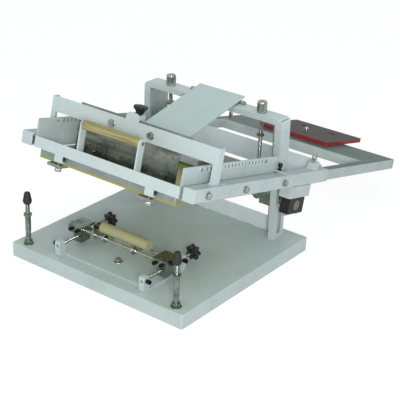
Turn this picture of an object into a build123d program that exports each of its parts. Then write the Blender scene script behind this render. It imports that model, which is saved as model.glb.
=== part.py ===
"""Tabletop screen printing press for round ware.

A tilting head on two arms carries a sliding screen and a fixed squeegee over a
roller jig. The origin is the centre of the base's underside, +X is the
operator's right, -Y the front, +Z up. The head is modelled as it stands when
raised, in its own frame at the pivot: x as above, y to the rear along the
arms, z square to them.
"""
import os
from math import cos, pi, radians, sin, sqrt, tan

from build123d import *

os.makedirs("parts", exist_ok=True)

SIDES = ((-1, "left"), (1, "right"))

# ---------------------------------------------------------------- base
base_width = 500.0
base_depth = 475.0
base_height = 34.0
base_sheet = 2.0
base_corner = 4.0
seat_gap = 0.2          # between flat pieces that are laid against each other
running_gap = 0.1       # radial gap of a shaft in its bore
hole_gap = 0.2          # radial gap of a bolt in its hole

# ---------------------------------------------------------------- portal
channel_depth = 38.0    # front to back, columns and beam alike
channel_sheet = 3.0
base_margin = 50.0      # the base's side to a column's outer face
front_flange = 17.0
back_flange = 20.0
guide_width = 21.0
guide_gap = 2.0
portal_top = 333.0
beam_lip = 13.0
beam_rise = 25.0
beam_corner = 12.0
crossbar_height = 38.0
weld_radius = 2.6
weld_length = 13.0
weld_pitch = 52.0

# ---------------------------------------------------------------- pivot and lift
pivot_y = 188.0
pivot_z = 132.5
tilt = 13.5             # degrees, front of the head up
lift_travel = 40.0
pin_diameter = 16.0
pin_head_diameter = 24.0
pin_slot_gap = 0.5
pin_slot_foot = 12.0    # lower end of the pin's slot above the base
lift_block_low = 16.5   # below the pivot's centre, and as much above
lift_block_reach = 50.0  # a column's outer face to the block's inner end
ear_reach = 16.0        # inward from the height screw
ear_thickness = 8.0
ear_depth = 30.0
screw_inset = 67.0      # a column's outer face to the height screw
screw_diameter = 10.0
screw_tail = 4.0        # rod below the lower lift nut
height_knob_diameter = 23.0
height_knob_height = 25.0
height_knob_grooves = 30
height_knob_groove = 1.0
height_knob_edge = 1.2
height_knob_rim = 1.5
height_knob_bevel = 30     # degrees
lift_nut_flats = 17.0
lift_nut_height = 8.0
lock_nut_drops = (40.0, 50.0)   # beam's top to each lock nut, left and right

# ---------------------------------------------------------------- shelf over the beam
panel_width = 132.0
panel_sheet = 2.0
panel_slope = 11.0      # degrees, rear edge up
panel_rise = 2.5        # underside above the beam's front edge
panel_ahead = 178.0     # in front of the beam's front edge, along the slope
panel_behind = 48.0     # behind it
panel_corner = 2.5
stud_x = 54.0
stud_diameter = 6.0
stud_inset = 9.0        # behind the beam's front face
stud_drop = 33.0        # below the beam's top
stud_collar_diameter = 9.0
stud_collar_height = 11.0
prop_diameter = 8.0
prop_overhang = 13.0
prop_nut_flats = 11.0
prop_nut_width = 6.0

# ---------------------------------------------------------------- stop posts
post_inset = 11.0       # inward from the middle of the arm above
post_y = -217.0
post_flange_diameter = 23.5
post_flange_height = 2.5
post_nut_flats = 17.0
post_nut_height = 7.5
post_foot_diameter = 12.0
post_foot_height = 22.0
post_neck_diameter = 11.4
post_neck_height = 3.5
sleeve_diameter = 13.4
sleeve_height = 35.5
stud_thread = 10.0
stud_engaged = 26.0
stud_bore_depth = 46.0
post_lock_height = 6.0
cap_top = 164.0
cap_height = 28.5
cap_diameter = 21.0
cap_top_diameter = 13.0
cap_mouth_diameter = 16.0
cap_bore_depth = 15.0

# ---------------------------------------------------------------- roller jig
jig_plate_width = 262.0
jig_plate_sheet = 4.0
jig_front = -202.0
jig_back = -93.0
jig_corner = 3.0
jig_ear_width = 15.0
jig_ear_depth = 17.0
jig_ear_height = 36.0   # above the base
jig_bolt_y = -153.0
jig_bolt_flats = 13.0
jig_bolt_flange = 22.0
ear_screw_head = 10.0
ear_screw_length = 10.0
cross_bar_overhang = 16.5   # past each jig screw
jig_rod_diameter = 8.0
jig_rod_rise = 26.0     # above the base
jig_rod_front = -211.0
star_knob_y = -40.0
star_knob_diameter = 40.0
star_knob_width = 16.0
star_hub_diameter = 17.0
star_hub_length = 7.0
star_lobes = 7
jig_block_width = 23.0
jig_block_depth = 32.0
jig_block_foot = 12.0   # above the base
jig_saddle_width = 38.0
jig_saddle_depth = 48.0
jig_saddle_height = 17.0
cross_bar_diameter = 6.0
cross_bar_spacing = 25.0
cross_bar_y = -138.5
cross_bar_rise = 46.0   # above the base
roller_diameter = 19.0
roller_width = 6.0
roller_x = 42.0
roller_rim = 1.2
collar_diameter = 11.0
collar_width = 5.0
cylinder_diameter = 25.0
cylinder_left = -60.0
cylinder_right = 78.0
cylinder_seat = 0.3
stop_plate_sheet = 3.0
stop_plate_x = -72.0
stop_plate_depth = 40.0
stop_plate_low = 36.0   # above the base
stop_plate_high = 73.0
stop_diameter = 14.0
block_screw_head = 9.0
block_screw_length = 6.5
set_screw_diameter = 3.5
set_screw_height = 3.4

# ---------------------------------------------------------------- arms (head frame)
arm_gap = 9.0           # side plate to arm, where the rails lie
arm_size = 30.0
arm_wall = 2.0
arm_corner = 3.0
arm_top = 76.0
arm_front = 415.0
arm_rear = 120.0
arm_bolt_places = (73.0, 230.0, 368.0)
arm_bolt_drop = 15.5    # below the arm's top
bolt_diameter = 8.0
bolt_flats = 13.0
bolt_head = 5.5
washer_diameter = 17.0
washer_height = 1.6
cheek_ahead = 36.0
cheek_behind = 49.0
cheek_height = 28.0
cheek_sheet = 3.0
bearing_length = 64.0
bearing_width = 24.0
bearing_top = 18.0      # above the pivot's centre
bearing_low = 20.0
bearing_edge = 2.5
bearing_bolt_pitch = 44.0
bearing_bolt_diameter = 6.0
bearing_bolt_flats = 10.0
bearing_bolt_head = 5.0
strap_places = (310.0, 52.0)
strap_sheet = 3.0
strap_width = 14.0
strap_reach = 7.5       # inward from the arm
strap_inset = 5.0       # from the arm's outer face
strap_screw_inset = 6.0     # from the strap's inner end
strap_screw_thread = 5.0
strap_screw_head = 10.0
strap_screw_rise = 12.0
strap_screw_height = 9.0
clamp_place = -68.0     # ahead of the pivot, so behind it
clamp_boss_base = 21.0
clamp_boss_top = 15.0
clamp_boss_height = 17.0
clamp_thread = 8.0
clamp_wing_span = 21.0
clamp_hub_diameter = 11.0
clamp_stem = 8.0
clamp_wing_height = 11.0
clamp_wing_sheet = 6.0
clamp_wing_lift = 6.05     # middle of the wings above the stem

# ---------------------------------------------------------------- cross member
cross_ahead = -109.0
cross_low = 41.0
cross_high = 92.0
cross_sheet = 2.0
cross_flange_front = -85.0
cross_flange_rear = -140.0
cross_flange_end = 74.0

# ---------------------------------------------------------------- bridge
bridge_setback = 73.0   # carriage's front to the front face of the bar
bridge_inset = 8.0      # from the arms' outer faces
bridge_sheet = 3.0
bridge_top = 154.0
bridge_height = 35.0
bridge_return = 18.0
leg_width = 12.0
foot_width = 16.0
tab_half_base = 21.5
tab_half_top = 16.5
tab_base = 125.0
tab_top = 172.0
tab_corner = 11.0
boss_half = 9.0
boss_length = 31.0      # behind the bar's front face
boss_low = 150.0
boss_high = 166.0
bridge_bolt_x = 55.0
bridge_bolt_level = 134.7

# ---------------------------------------------------------------- squeegee
squeegee_travel = 6.0
squeegee_sheet = 2.0
squeegee_left_gap = 50.0    # side plate to the end of each squeegee part
squeegee_right_gap = 42.0
squeegee_low = 45.0
squeegee_high = 158.0
squeegee_step_gap = 67.0
squeegee_step = 117.0
notch_half = 12.0
notch_low = 140.0
holder_left_gap = 52.0
holder_right_gap = 20.0
holder_low = 102.0
holder_height = 12.0
holder_depth = 14.0
back_clamp_left_gap = 67.0
back_clamp_right_gap = 74.0
back_clamp_low = 46.0
back_clamp_height = 26.0
back_clamp_sheet = 4.0
blade_thickness = 6.0
blade_high = 66.0
blade_inset = 3.0
blade_lift = 0.4        # above the mesh
squeegee_screw_pitch = 64.0
squeegee_screw_level = 59.0
upper_screw_inset = 74.0    # from the side plate
squeegee_screw_count = 4
small_screw = 5.0
small_head = 8.0
small_head_height = 3.0
lug_half = 10.0
lug_low = 131.0
lug_height = 6.0
lug_root = 120.0
lug_setback = 28.0      # behind the bar's front face
pressure_setback = 20.0
pressure_thread = 8.0
pressure_collar = 12.0
pressure_collar_height = 4.0
knob_low = 168.0
knob_height = 19.0
knob_neck = 18.0
knob_diameter = 32.0
knob_lobes = 8

# ---------------------------------------------------------------- tail
tail_size = 25.0
tail_wall = 2.0
tail_inner_end = -10.0
tail_end = -470.0
beam_depth = 137.0
tail_travel = 40.0
weight_left = -124.0
weight_right = 88.0
weight_lap = 95.0       # over the rear beam, from its rear edge
weight_overhang = 94.0  # behind the rear beam
weight_thickness = 10.5
weight_corner = 5.0
weight_bolt_inset = 29.0    # ahead of the rear beam's rear edge
weight_hole_pitch = 88.0
weight_hole_setback = 37.0  # behind it
weight_hole = 8.0
weight_sink = 17.0

# ---------------------------------------------------------------- screen carriage
arm_lead = 1.0          # arms' front ends ahead of the carriage's front
carriage_sheet = 2.0
carriage_gap = 2.0      # column to side plate
carriage_rear = 45.0
plate_low = 48.0
plate_high = 111.0
plate_corner = 8.0
plate_flange = 12.0
plate_slope_length = 20.0
plate_slope_drop = 7.0
bar_low = 47.0
bar_high = 72.0
bar_flange = 18.0
lug_inset = 63.5        # screen frame's side to the middle of a lug
lug_width = 23.0
lug_drop = 13.0
lug_foot = 3.0
clamp_screw_setback = 4.4   # behind the carriage's front
rail_height = 22.0
rail_drop = 4.5         # below the arm's top
rail_sheet = 1.5
rail_depth = 8.0
rail_rear = 60.0
rail_setback = 1.0
runner_gap = 0.5
runner_depth = 6.7
runner_rear = 50.0
runner_setback = 6.0
strip_sheet = 1.2
strip_low = 97.0
strip_high = 109.0
strip_front = 354.0
strip_rear = 104.0
slot_count = 17
slot_pitch = 13.0
slot_first = 330.0
slot_width = 4.5
slot_height = 8.0
strip_screw = 4.0
strip_screw_head = 8.0
strip_screw_height = 2.0
handle_half = 79.0      # centre to a post's inner face
post_sheet = 4.0
post_width = 18.0
handle_level = 129.0
handle_diameter = 22.0
handle_gap = 0.1
handle_screw_depth = 18.0

# ---------------------------------------------------------------- screen
frame_gap = 10.0        # screen frame to side plate
frame_setback = 9.5     # behind the carriage's front
frame_rear = 52.0
frame_low = 26.0
frame_height = 20.0
frame_bar = 18.0
frame_corner = 3.0
mesh_sheet = 1.0
mesh_inset = 2.0
rear_bar_ahead = 47.0
clip_x = 100.0
clip_width = 40.0
clip_reach = 12.0
clamp_bar_long = 30.0
clamp_bar_short = 8.0
clamp_bar_depth = 29.0
clamp_bar_height = 6.5
clamp_screw_diameter = 6.0
clamp_head_diameter = 15.0
clamp_head_height = 8.0

# ---------------------------------------------------------------- derived
column_reach = base_width / 2 - base_margin
lift_block_inner = column_reach - lift_block_reach
screw_x = column_reach - screw_inset
ear_inner = screw_x - ear_reach
plate_inner = column_reach + carriage_gap
carriage_half = plate_inner + carriage_sheet
arm_inner = carriage_half + arm_gap
arm_outer = arm_inner + arm_size
arm_centre = arm_outer - arm_size / 2
post_x = arm_centre - post_inset
bearing_x = arm_outer - bearing_width / 2
strap_inner = arm_inner - strap_reach
strap_outer = arm_outer - strap_inset
strap_screw_x = strap_inner + strap_screw_inset
bridge_half = arm_outer - bridge_inset
squeegee_left = squeegee_left_gap - plate_inner
squeegee_right = plate_inner - squeegee_right_gap
squeegee_step_x = plate_inner - squeegee_step_gap
holder_left = holder_left_gap - plate_inner
holder_right = plate_inner - holder_right_gap
back_clamp_left = back_clamp_left_gap - plate_inner
back_clamp_right = plate_inner - back_clamp_right_gap
back_clamp_middle = (back_clamp_left + back_clamp_right) / 2
squeegee_screw_places = [
    back_clamp_middle + squeegee_screw_pitch * (number - (squeegee_screw_count - 1) / 2)
    for number in range(squeegee_screw_count)
]
upper_screw_places = (upper_screw_inset - plate_inner, plate_inner - upper_screw_inset)
upper_screw_level = holder_low + holder_height / 2
frame_half = plate_inner - frame_gap
lug_x = frame_half - lug_inset
jig_rod_x = (jig_plate_width - jig_ear_width) / 2
cross_bar_half = jig_rod_x + cross_bar_overhang
carriage_front = arm_front - arm_lead
bridge_ahead = carriage_front - bridge_setback
boss_rear = bridge_ahead - boss_length
lug_rear = bridge_ahead - lug_setback
pressure_ahead = bridge_ahead - pressure_setback
clamp_screw_ahead = carriage_front - clamp_screw_setback
rail_front = carriage_front - rail_setback
runner_front = carriage_front - runner_setback
frame_front = carriage_front - frame_setback
beam_front = tail_end + beam_depth
weight_front = tail_end + weight_lap
weight_rear = tail_end - weight_overhang
weight_bolt_ahead = tail_end + weight_bolt_inset
weight_hole_ahead = tail_end - weight_hole_setback
column_front = pivot_y - channel_depth / 2
column_back = pivot_y + channel_depth / 2
column_top = portal_top - beam_rise
guide_x = column_reach - back_flange - guide_gap - guide_width / 2
arm_low = arm_top - arm_size
arm_middle = arm_top - arm_size / 2
bolt_level = arm_top - arm_bolt_drop
tail_middle = arm_middle
tail_high = tail_middle + tail_size / 2
tail_low = tail_middle - tail_size / 2
tail_inner_face = arm_centre - tail_size / 2
squeegee_front = bridge_ahead - bridge_sheet - seat_gap
squeegee_back = squeegee_front - squeegee_sheet
mesh_top = frame_low
blade_low = mesh_top + blade_lift
rail_high = arm_top - rail_drop
rail_low = rail_high - rail_height
rail_x = arm_inner - rail_depth
runner_low = rail_low + rail_sheet + runner_gap
runner_high = rail_high - rail_sheet - runner_gap
bar_back = carriage_front - carriage_sheet
post_ahead = bar_back - post_width / 2
rod_z = base_height + jig_rod_rise
bar_z = base_height + cross_bar_rise
bar_front_y = cross_bar_y - cross_bar_spacing / 2
bar_back_y = cross_bar_y + cross_bar_spacing / 2
roller_reach = (roller_diameter + cylinder_diameter) / 2 + cylinder_seat
cylinder_z = bar_z + sqrt(roller_reach**2 - (cross_bar_spacing / 2) ** 2)
weight_middle = (weight_left + weight_right) / 2

# ---------------------------------------------------------------- frames
world = Plane.XY
head = Plane(
    origin=(0, pivot_y, pivot_z),
    x_dir=(1, 0, 0),
    z_dir=(0, sin(radians(tilt)), cos(radians(tilt))),
)
panel_frame = Plane(
    origin=(0, column_front, portal_top + panel_rise),
    x_dir=(1, 0, 0),
    z_dir=(0, -sin(radians(panel_slope)), cos(radians(panel_slope))),
)


def across(frame, x):
    """The plane square to the frame's x axis: rear is its x, up its y."""
    return Plane(origin=frame.from_local_coords((x, 0, 0)), x_dir=frame.y_dir, z_dir=frame.x_dir)


def facing(frame, y):
    """The plane that faces the front at y: right is its x, up its y."""
    return Plane(origin=frame.from_local_coords((0, y, 0)), x_dir=frame.x_dir, z_dir=-frame.y_dir)


def level(frame, x, y, z):
    """The frame moved to a point of its own."""
    return Plane(origin=frame.from_local_coords((x, y, z)), x_dir=frame.x_dir, z_dir=frame.z_dir)


def slab(x, y, z, mode=Mode.ADD):
    """A box between two limits on each axis of the frame in use."""
    middle = [(low + high) / 2 for low, high in (x, y, z)]
    with Locations(tuple(middle)):
        Box(abs(x[1] - x[0]), abs(y[1] - y[0]), abs(z[1] - z[0]), mode=mode)


def rod(plane, diameter, length, mode=Mode.ADD):
    """A round bar that starts on a plane and follows its normal."""
    with BuildSketch(plane) as disc:
        Circle(diameter / 2)
    extrude(disc.sketch, amount=length, mode=mode)


def hexagon(plane, flats, length, bore=0.0):
    """A hexagonal nut or head on a plane, with a bore where one is given."""
    with BuildSketch(plane) as outline:
        RegularPolygon(flats / 2, 6, major_radius=False)
        if bore:
            Circle(bore / 2, mode=Mode.SUBTRACT)
    extrude(outline.sketch, amount=length)


def keep(piece, label):
    """Label a finished piece and write its file."""
    piece.part.label = label
    export_step(piece.part, f"parts/{label}.step")


# ================================================================ base
with BuildPart() as base_tray:
    with BuildSketch():
        RectangleRounded(base_width, base_depth, base_corner)
    extrude(amount=base_height)
    fillet(base_tray.faces().sort_by(Axis.Z)[-1].edges(), base_sheet * 0.8)
    with BuildSketch():
        Rectangle(base_width - 2 * base_sheet, base_depth - 2 * base_sheet)
    extrude(amount=base_height - base_sheet, mode=Mode.SUBTRACT)
keep(base_tray, "base_tray")

with BuildPart() as base_bottom_plate:
    with BuildSketch():
        Rectangle(base_width - 2 * base_sheet - 2 * seat_gap, base_depth - 2 * base_sheet - 2 * seat_gap)
    extrude(amount=base_sheet)
keep(base_bottom_plate, "base_bottom_plate")

# ================================================================ portal
crossbar_half = guide_x - guide_width / 2

with BuildPart() as rear_crossbar:
    slab(
        (-crossbar_half, crossbar_half),
        (column_back - channel_sheet, column_back),
        (base_height, base_height + crossbar_height),
    )
    weld_count = int(2 * crossbar_half / weld_pitch)
    weld_span = weld_pitch * (weld_count - 1)
    for number in range(weld_count):
        start = -weld_span / 2 + number * weld_pitch - weld_length / 2
        bead = level(world, 0, column_back - channel_sheet, base_height)
        rod(across(bead, start), 2 * weld_radius, weld_length)
    slab(
        (-crossbar_half, crossbar_half),
        (column_front, column_back + weld_radius),
        (base_height - 2 * weld_radius, base_height),
        mode=Mode.SUBTRACT,
    )
keep(rear_crossbar, "rear_crossbar")

slot_low = base_height + pin_slot_foot
slot_high = pivot_z + lift_travel + pin_diameter / 2 + pin_slot_gap
for side, hand in SIDES:
    with BuildPart() as column:
        with BuildSketch(world.offset(base_height)):
            with Locations((side * (column_reach - channel_sheet / 2), pivot_y)):
                Rectangle(channel_sheet, channel_depth)
            with Locations((side * (column_reach - front_flange / 2), column_front + channel_sheet / 2)):
                Rectangle(front_flange, channel_sheet)
            with Locations((side * (column_reach - back_flange / 2), column_back - channel_sheet / 2)):
                Rectangle(back_flange, channel_sheet)
        extrude(amount=column_top - base_height)
        with BuildSketch(across(world, side * (column_reach - channel_sheet / 2))):
            with Locations((pivot_y, (slot_low + slot_high) / 2)):
                SlotOverall(slot_high - slot_low, pin_diameter + 2 * pin_slot_gap, rotation=90)
        extrude(amount=channel_sheet, both=True, mode=Mode.SUBTRACT)
        with BuildSketch(world.offset(base_height)):
            with Locations((side * guide_x, column_back - channel_sheet / 2)):
                Rectangle(guide_width, channel_sheet)
        extrude(amount=portal_top - beam_lip - base_height)
    keep(column, f"column_{hand}")

with BuildPart() as portal_beam:
    with BuildSketch(facing(world, column_back)) as web:
        with Locations((0, portal_top - beam_rise / 2)):
            Rectangle(2 * column_reach, beam_rise)
        fillet(web.vertices().group_by(Axis.Y)[-1], beam_corner)
        with Locations((0, portal_top - channel_sheet - beam_rise / 2)):
            Rectangle(2 * (column_reach - channel_sheet), beam_rise, mode=Mode.SUBTRACT)
    extrude(amount=channel_depth)
    for flange, lip_y in ((front_flange, column_front + channel_sheet), (back_flange, column_back)):
        with BuildSketch(facing(world, lip_y)) as lip:
            with Locations((0, portal_top - beam_rise / 2)):
                Rectangle(2 * column_reach, beam_rise)
            fillet(lip.vertices().group_by(Axis.Y)[-1], beam_corner)
            with Locations((0, portal_top - beam_lip - beam_rise / 2)):
                Rectangle(2 * (column_reach - flange), beam_rise, mode=Mode.SUBTRACT)
        extrude(amount=channel_sheet)
    for side, hand in SIDES:
        rod(
            level(world, side * screw_x, pivot_y, portal_top - 2 * channel_sheet),
            screw_diameter + 2 * hole_gap,
            3 * channel_sheet,
            mode=Mode.SUBTRACT,
        )
        rod(
            level(world, side * stud_x, column_front + stud_inset, portal_top - 2 * channel_sheet),
            stud_diameter + 2 * hole_gap,
            3 * channel_sheet,
            mode=Mode.SUBTRACT,
        )
keep(portal_beam, "portal_beam")

# The shelf rises to the rear over the beam, on two studs and a cross rod.
with BuildPart() as sloped_panel:
    with BuildSketch(panel_frame):
        with Locations((0, (panel_behind - panel_ahead) / 2)):
            RectangleRounded(panel_width, panel_ahead + panel_behind, panel_corner)
    extrude(amount=panel_sheet)
keep(sloped_panel, "sloped_panel")

slope_rise = tan(radians(panel_slope))
prop_y = column_front + (prop_diameter - panel_rise) / slope_rise + prop_diameter * slope_rise
prop_half = panel_width / 2 + prop_overhang

with BuildPart() as panel_fasteners:
    for side, hand in SIDES:
        stud_foot = portal_top - stud_drop
        stud_y = column_front + stud_inset
        panel_under = portal_top + panel_rise + (stud_inset - stud_diameter / 2) * slope_rise
        rod(
            level(world, side * stud_x, stud_y, stud_foot),
            stud_diameter,
            panel_under - seat_gap / 2 - stud_foot,
        )
        rod(level(world, side * stud_x, stud_y, stud_foot + 2), stud_collar_diameter, stud_collar_height)
        hexagon(
            level(world, side * stud_x, stud_y, portal_top - channel_sheet - lift_nut_height / 2),
            prop_nut_flats,
            lift_nut_height / 2,
        )
        nut_x = side * (panel_width / 2 + prop_nut_width)
        hexagon(
            across(
                level(world, 0, prop_y, portal_top + prop_diameter / 2 + seat_gap / 2),
                nut_x - prop_nut_width / 2,
            ),
            prop_nut_flats - 2 * seat_gap - 2.6,
            prop_nut_width,
        )
    rod(
        across(level(world, 0, prop_y, portal_top + prop_diameter / 2 + seat_gap / 2), -prop_half),
        prop_diameter,
        2 * prop_half,
    )
keep(panel_fasteners, "panel_fasteners")

# ================================================================ lift carriage
block_low = pivot_z - lift_block_low
ear_low = pivot_z - ear_thickness / 2
block_outer = column_reach - channel_sheet - seat_gap
block_front = column_front + channel_sheet + seat_gap
block_back = column_back - channel_sheet - seat_gap

with BuildPart() as lift_blocks:
    for side, hand in SIDES:
        slab(
            (side * lift_block_inner, side * block_outer),
            (block_front, block_back),
            (block_low, block_low + 2 * lift_block_low),
        )
        slab(
            (side * ear_inner, side * lift_block_inner),
            (pivot_y - ear_depth / 2, pivot_y + ear_depth / 2),
            (ear_low, ear_low + ear_thickness),
        )
        rod(
            level(world, side * screw_x, pivot_y, ear_low - ear_thickness),
            screw_diameter + 2 * running_gap,
            3 * ear_thickness,
            mode=Mode.SUBTRACT,
        )
    rod(
        across(level(world, 0, pivot_y, pivot_z), -column_reach),
        pin_diameter + 2 * running_gap,
        2 * column_reach,
        mode=Mode.SUBTRACT,
    )
    for side, hand in SIDES:
        for nut_z in (ear_low - lift_nut_height, ear_low + ear_thickness):
            hexagon(
                level(world, side * screw_x, pivot_y, nut_z),
                lift_nut_flats,
                lift_nut_height,
                bore=screw_diameter + 2 * running_gap,
            )
keep(lift_blocks, "lift_blocks")

pin_shoulder = column_reach + channel_sheet

with BuildPart() as pivot_pins:
    for side, hand in SIDES:
        pin_line = level(world, 0, pivot_y, pivot_z)
        start = min(side * (lift_block_inner + channel_sheet), side * pin_shoulder)
        rod(across(pin_line, start), pin_diameter, pin_shoulder - lift_block_inner - channel_sheet)
        start = min(side * pin_shoulder, side * (arm_outer + 0.6))
        rod(across(pin_line, start), pin_head_diameter, arm_outer + 0.6 - pin_shoulder)
keep(pivot_pins, "pivot_pins")

screw_foot = ear_low - lift_nut_height - screw_tail

for (side, hand), lock_nut_drop in zip(SIDES, lock_nut_drops):
    with BuildPart() as height_screw:
        rod(level(world, side * screw_x, pivot_y, screw_foot), screw_diameter, portal_top - screw_foot + 1)
        with BuildSketch(level(world, side * screw_x, pivot_y, portal_top + seat_gap)):
            Circle(height_knob_diameter / 2)
            with PolarLocations(height_knob_diameter / 2, height_knob_grooves):
                Rectangle(height_knob_groove, height_knob_groove, rotation=45, mode=Mode.SUBTRACT)
        extrude(amount=height_knob_height)
        with BuildSketch(level(world, side * screw_x, pivot_y, portal_top + seat_gap + height_knob_height)):
            Circle(height_knob_diameter / 2 - height_knob_rim)
        extrude(amount=height_knob_edge, taper=height_knob_bevel)
        nut_top = portal_top - lock_nut_drop
        hexagon(
            level(world, side * screw_x, pivot_y, nut_top - lift_nut_height),
            lift_nut_flats,
            lift_nut_height,
        )
    keep(height_screw, f"height_screw_{hand}")

# ================================================================ stop posts
flange_top = base_height + post_flange_height
foot_low = flange_top + post_nut_height
neck_low = foot_low + post_foot_height
sleeve_low = neck_low + post_neck_height
sleeve_top = sleeve_low + sleeve_height
cap_low = cap_top - cap_height

with BuildPart() as post_sleeves:
    for side, hand in SIDES:
        rod(level(world, side * post_x, post_y, base_height), post_flange_diameter, post_flange_height)
        hexagon(level(world, side * post_x, post_y, flange_top), post_nut_flats, post_nut_height)
        rod(level(world, side * post_x, post_y, foot_low), post_foot_diameter, post_foot_height)
        rod(level(world, side * post_x, post_y, neck_low), post_neck_diameter, post_neck_height)
        rod(level(world, side * post_x, post_y, sleeve_low), sleeve_diameter, sleeve_height)
        rod(
            level(world, side * post_x, post_y, sleeve_top - stud_bore_depth),
            stud_thread + 2 * running_gap,
            stud_bore_depth,
            mode=Mode.SUBTRACT,
        )
    for side, hand in SIDES:
        hexagon(
            level(world, side * post_x, post_y, sleeve_top + seat_gap),
            post_nut_flats,
            post_lock_height,
            bore=stud_thread + 2 * running_gap,
        )
keep(post_sleeves, "post_sleeves")

for side, hand in SIDES:
    with BuildPart() as post_stud:
        stud_low = sleeve_top - stud_engaged
        rod(level(world, side * post_x, post_y, stud_low), stud_thread, cap_low + cap_bore_depth - stud_low)
        chamfer(post_stud.edges().group_by(Axis.Z)[0], 1.0)
    keep(post_stud, f"post_stud_{hand}")

    with BuildPart() as rubber_cap:
        with BuildSketch(facing(level(world, side * post_x, post_y, 0), 0)):
            with BuildLine():
                Polyline(
                    (0, cap_low),
                    (cap_mouth_diameter / 2, cap_low),
                    (cap_diameter / 2, cap_low + cap_height * 0.22),
                    (cap_top_diameter / 2, cap_top),
                    (0, cap_top),
                    close=True,
                )
            make_face()
        revolve(axis=Axis((side * post_x, post_y, 0), (0, 0, 1)))
        fillet(rubber_cap.edges().group_by(Axis.Z)[-1], cap_top_diameter * 0.3)
        rod(
            level(world, side * post_x, post_y, cap_low),
            stud_thread + running_gap,
            cap_bore_depth,
            mode=Mode.SUBTRACT,
        )
    keep(rubber_cap, f"rubber_cap_{hand}")

# ================================================================ roller jig
plate_top = base_height + jig_plate_sheet
ear_x = jig_plate_width / 2 - jig_ear_width / 2
ear_rows = (jig_front - jig_ear_depth / 2, jig_back + jig_ear_depth / 2)

with BuildPart() as jig_plate:
    with BuildSketch(world.offset(base_height)):
        with Locations((0, (jig_front + jig_back) / 2)):
            RectangleRounded(jig_plate_width, jig_back - jig_front, jig_corner)
    extrude(amount=jig_plate_sheet)
    for side, hand in SIDES:
        for row in ear_rows:
            ear_face = across(level(world, 0, row, base_height), side * ear_x - jig_ear_width / 2)
            with BuildSketch(ear_face) as ear:
                with Locations((0, jig_ear_height / 2)):
                    Rectangle(jig_ear_depth, jig_ear_height)
                fillet(ear.vertices().group_by(Axis.Z)[-1], jig_corner)
            extrude(amount=jig_ear_width)
            rod(
                facing(level(world, side * jig_rod_x, row, rod_z), jig_ear_depth),
                jig_rod_diameter + 2 * running_gap,
                2 * jig_ear_depth,
                mode=Mode.SUBTRACT,
            )
    rod(
        level(world, 0, jig_bolt_y, base_height),
        bolt_diameter + 2 * hole_gap,
        2 * jig_plate_sheet,
        mode=Mode.SUBTRACT,
    )
keep(jig_plate, "jig_plate")

with BuildPart() as jig_fasteners:
    rod(level(world, 0, jig_bolt_y, base_height), bolt_diameter, jig_plate_sheet + 1)
    rod(level(world, 0, jig_bolt_y, plate_top), jig_bolt_flange, washer_height)
    hexagon(level(world, 0, jig_bolt_y, plate_top + washer_height), jig_bolt_flats, bolt_head)
    for side, hand in SIDES:
        for row in ear_rows:
            start = side * (ear_x + jig_ear_width / 2)
            face = across(level(world, 0, row, rod_z), min(start, start + side * ear_screw_length))
            rod(face, ear_screw_head, ear_screw_length)
keep(jig_fasteners, "jig_fasteners")

block_foot_z = base_height + jig_block_foot
saddle_low = bar_z - jig_saddle_height / 2
saddle_high = bar_z + jig_saddle_height / 2

with BuildPart() as jig_blocks:
    for side, hand in SIDES:
        slab(
            (side * jig_rod_x - jig_block_width / 2, side * jig_rod_x + jig_block_width / 2),
            (cross_bar_y - jig_block_depth / 2, cross_bar_y + jig_block_depth / 2),
            (block_foot_z, saddle_low),
        )
        slab(
            (side * jig_rod_x - jig_saddle_width / 2, side * jig_rod_x + jig_saddle_width / 2),
            (cross_bar_y - jig_saddle_depth / 2, cross_bar_y + jig_saddle_depth / 2),
            (saddle_low, saddle_high),
        )
    chamfer(jig_blocks.edges().filter_by(Axis.X).group_by(Axis.Z)[-1], 1.5)
    for side, hand in SIDES:
        rod(
            facing(level(world, side * jig_rod_x, cross_bar_y, rod_z), jig_block_depth),
            jig_rod_diameter + 2 * running_gap,
            2 * jig_block_depth,
            mode=Mode.SUBTRACT,
        )
    for bar_y in (bar_front_y, bar_back_y):
        rod(
            across(level(world, 0, bar_y, bar_z), -2 * cross_bar_half),
            cross_bar_diameter + running_gap,
            4 * cross_bar_half,
            mode=Mode.SUBTRACT,
        )
keep(jig_blocks, "jig_blocks")

collar_places = [side * roller_x + end * roller_width for side in (-1, 1) for end in (-1, 1)]

with BuildPart() as jig_cross_bars:
    for bar_y in (bar_front_y, bar_back_y):
        bar_line = level(world, 0, bar_y, bar_z)
        rod(across(bar_line, -cross_bar_half), cross_bar_diameter, 2 * cross_bar_half)
        for place in collar_places:
            rod(across(bar_line, place - collar_width / 2), collar_diameter, collar_width)
    slab(
        (stop_plate_x, stop_plate_x + stop_plate_sheet),
        (cross_bar_y - stop_plate_depth / 2, cross_bar_y + stop_plate_depth / 2),
        (base_height + stop_plate_low, base_height + stop_plate_high),
    )
keep(jig_cross_bars, "jig_cross_bars")

with BuildPart() as jig_block_screws:
    for side, hand in SIDES:
        face_y = cross_bar_y - jig_saddle_depth / 2
        for offset in (-jig_saddle_width / 4, jig_saddle_width / 4):
            rod(
                facing(level(world, side * jig_rod_x + offset, face_y, bar_z), 0),
                block_screw_head,
                block_screw_length,
            )
        for offset in (-cross_bar_spacing / 2, cross_bar_spacing / 2):
            start = side * (jig_rod_x + jig_saddle_width / 2)
            face = level(world, 0, cross_bar_y + offset / 2, bar_z - offset / 6)
            rod(
                across(face, min(start, start + side * block_screw_length)),
                block_screw_head,
                block_screw_length,
            )
    for place in collar_places[:2]:
        for bar_y in (bar_front_y, bar_back_y):
            rod(level(world, place, bar_y, bar_z + collar_diameter / 2), set_screw_diameter, set_screw_height)
keep(jig_block_screws, "jig_block_screws")

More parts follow.
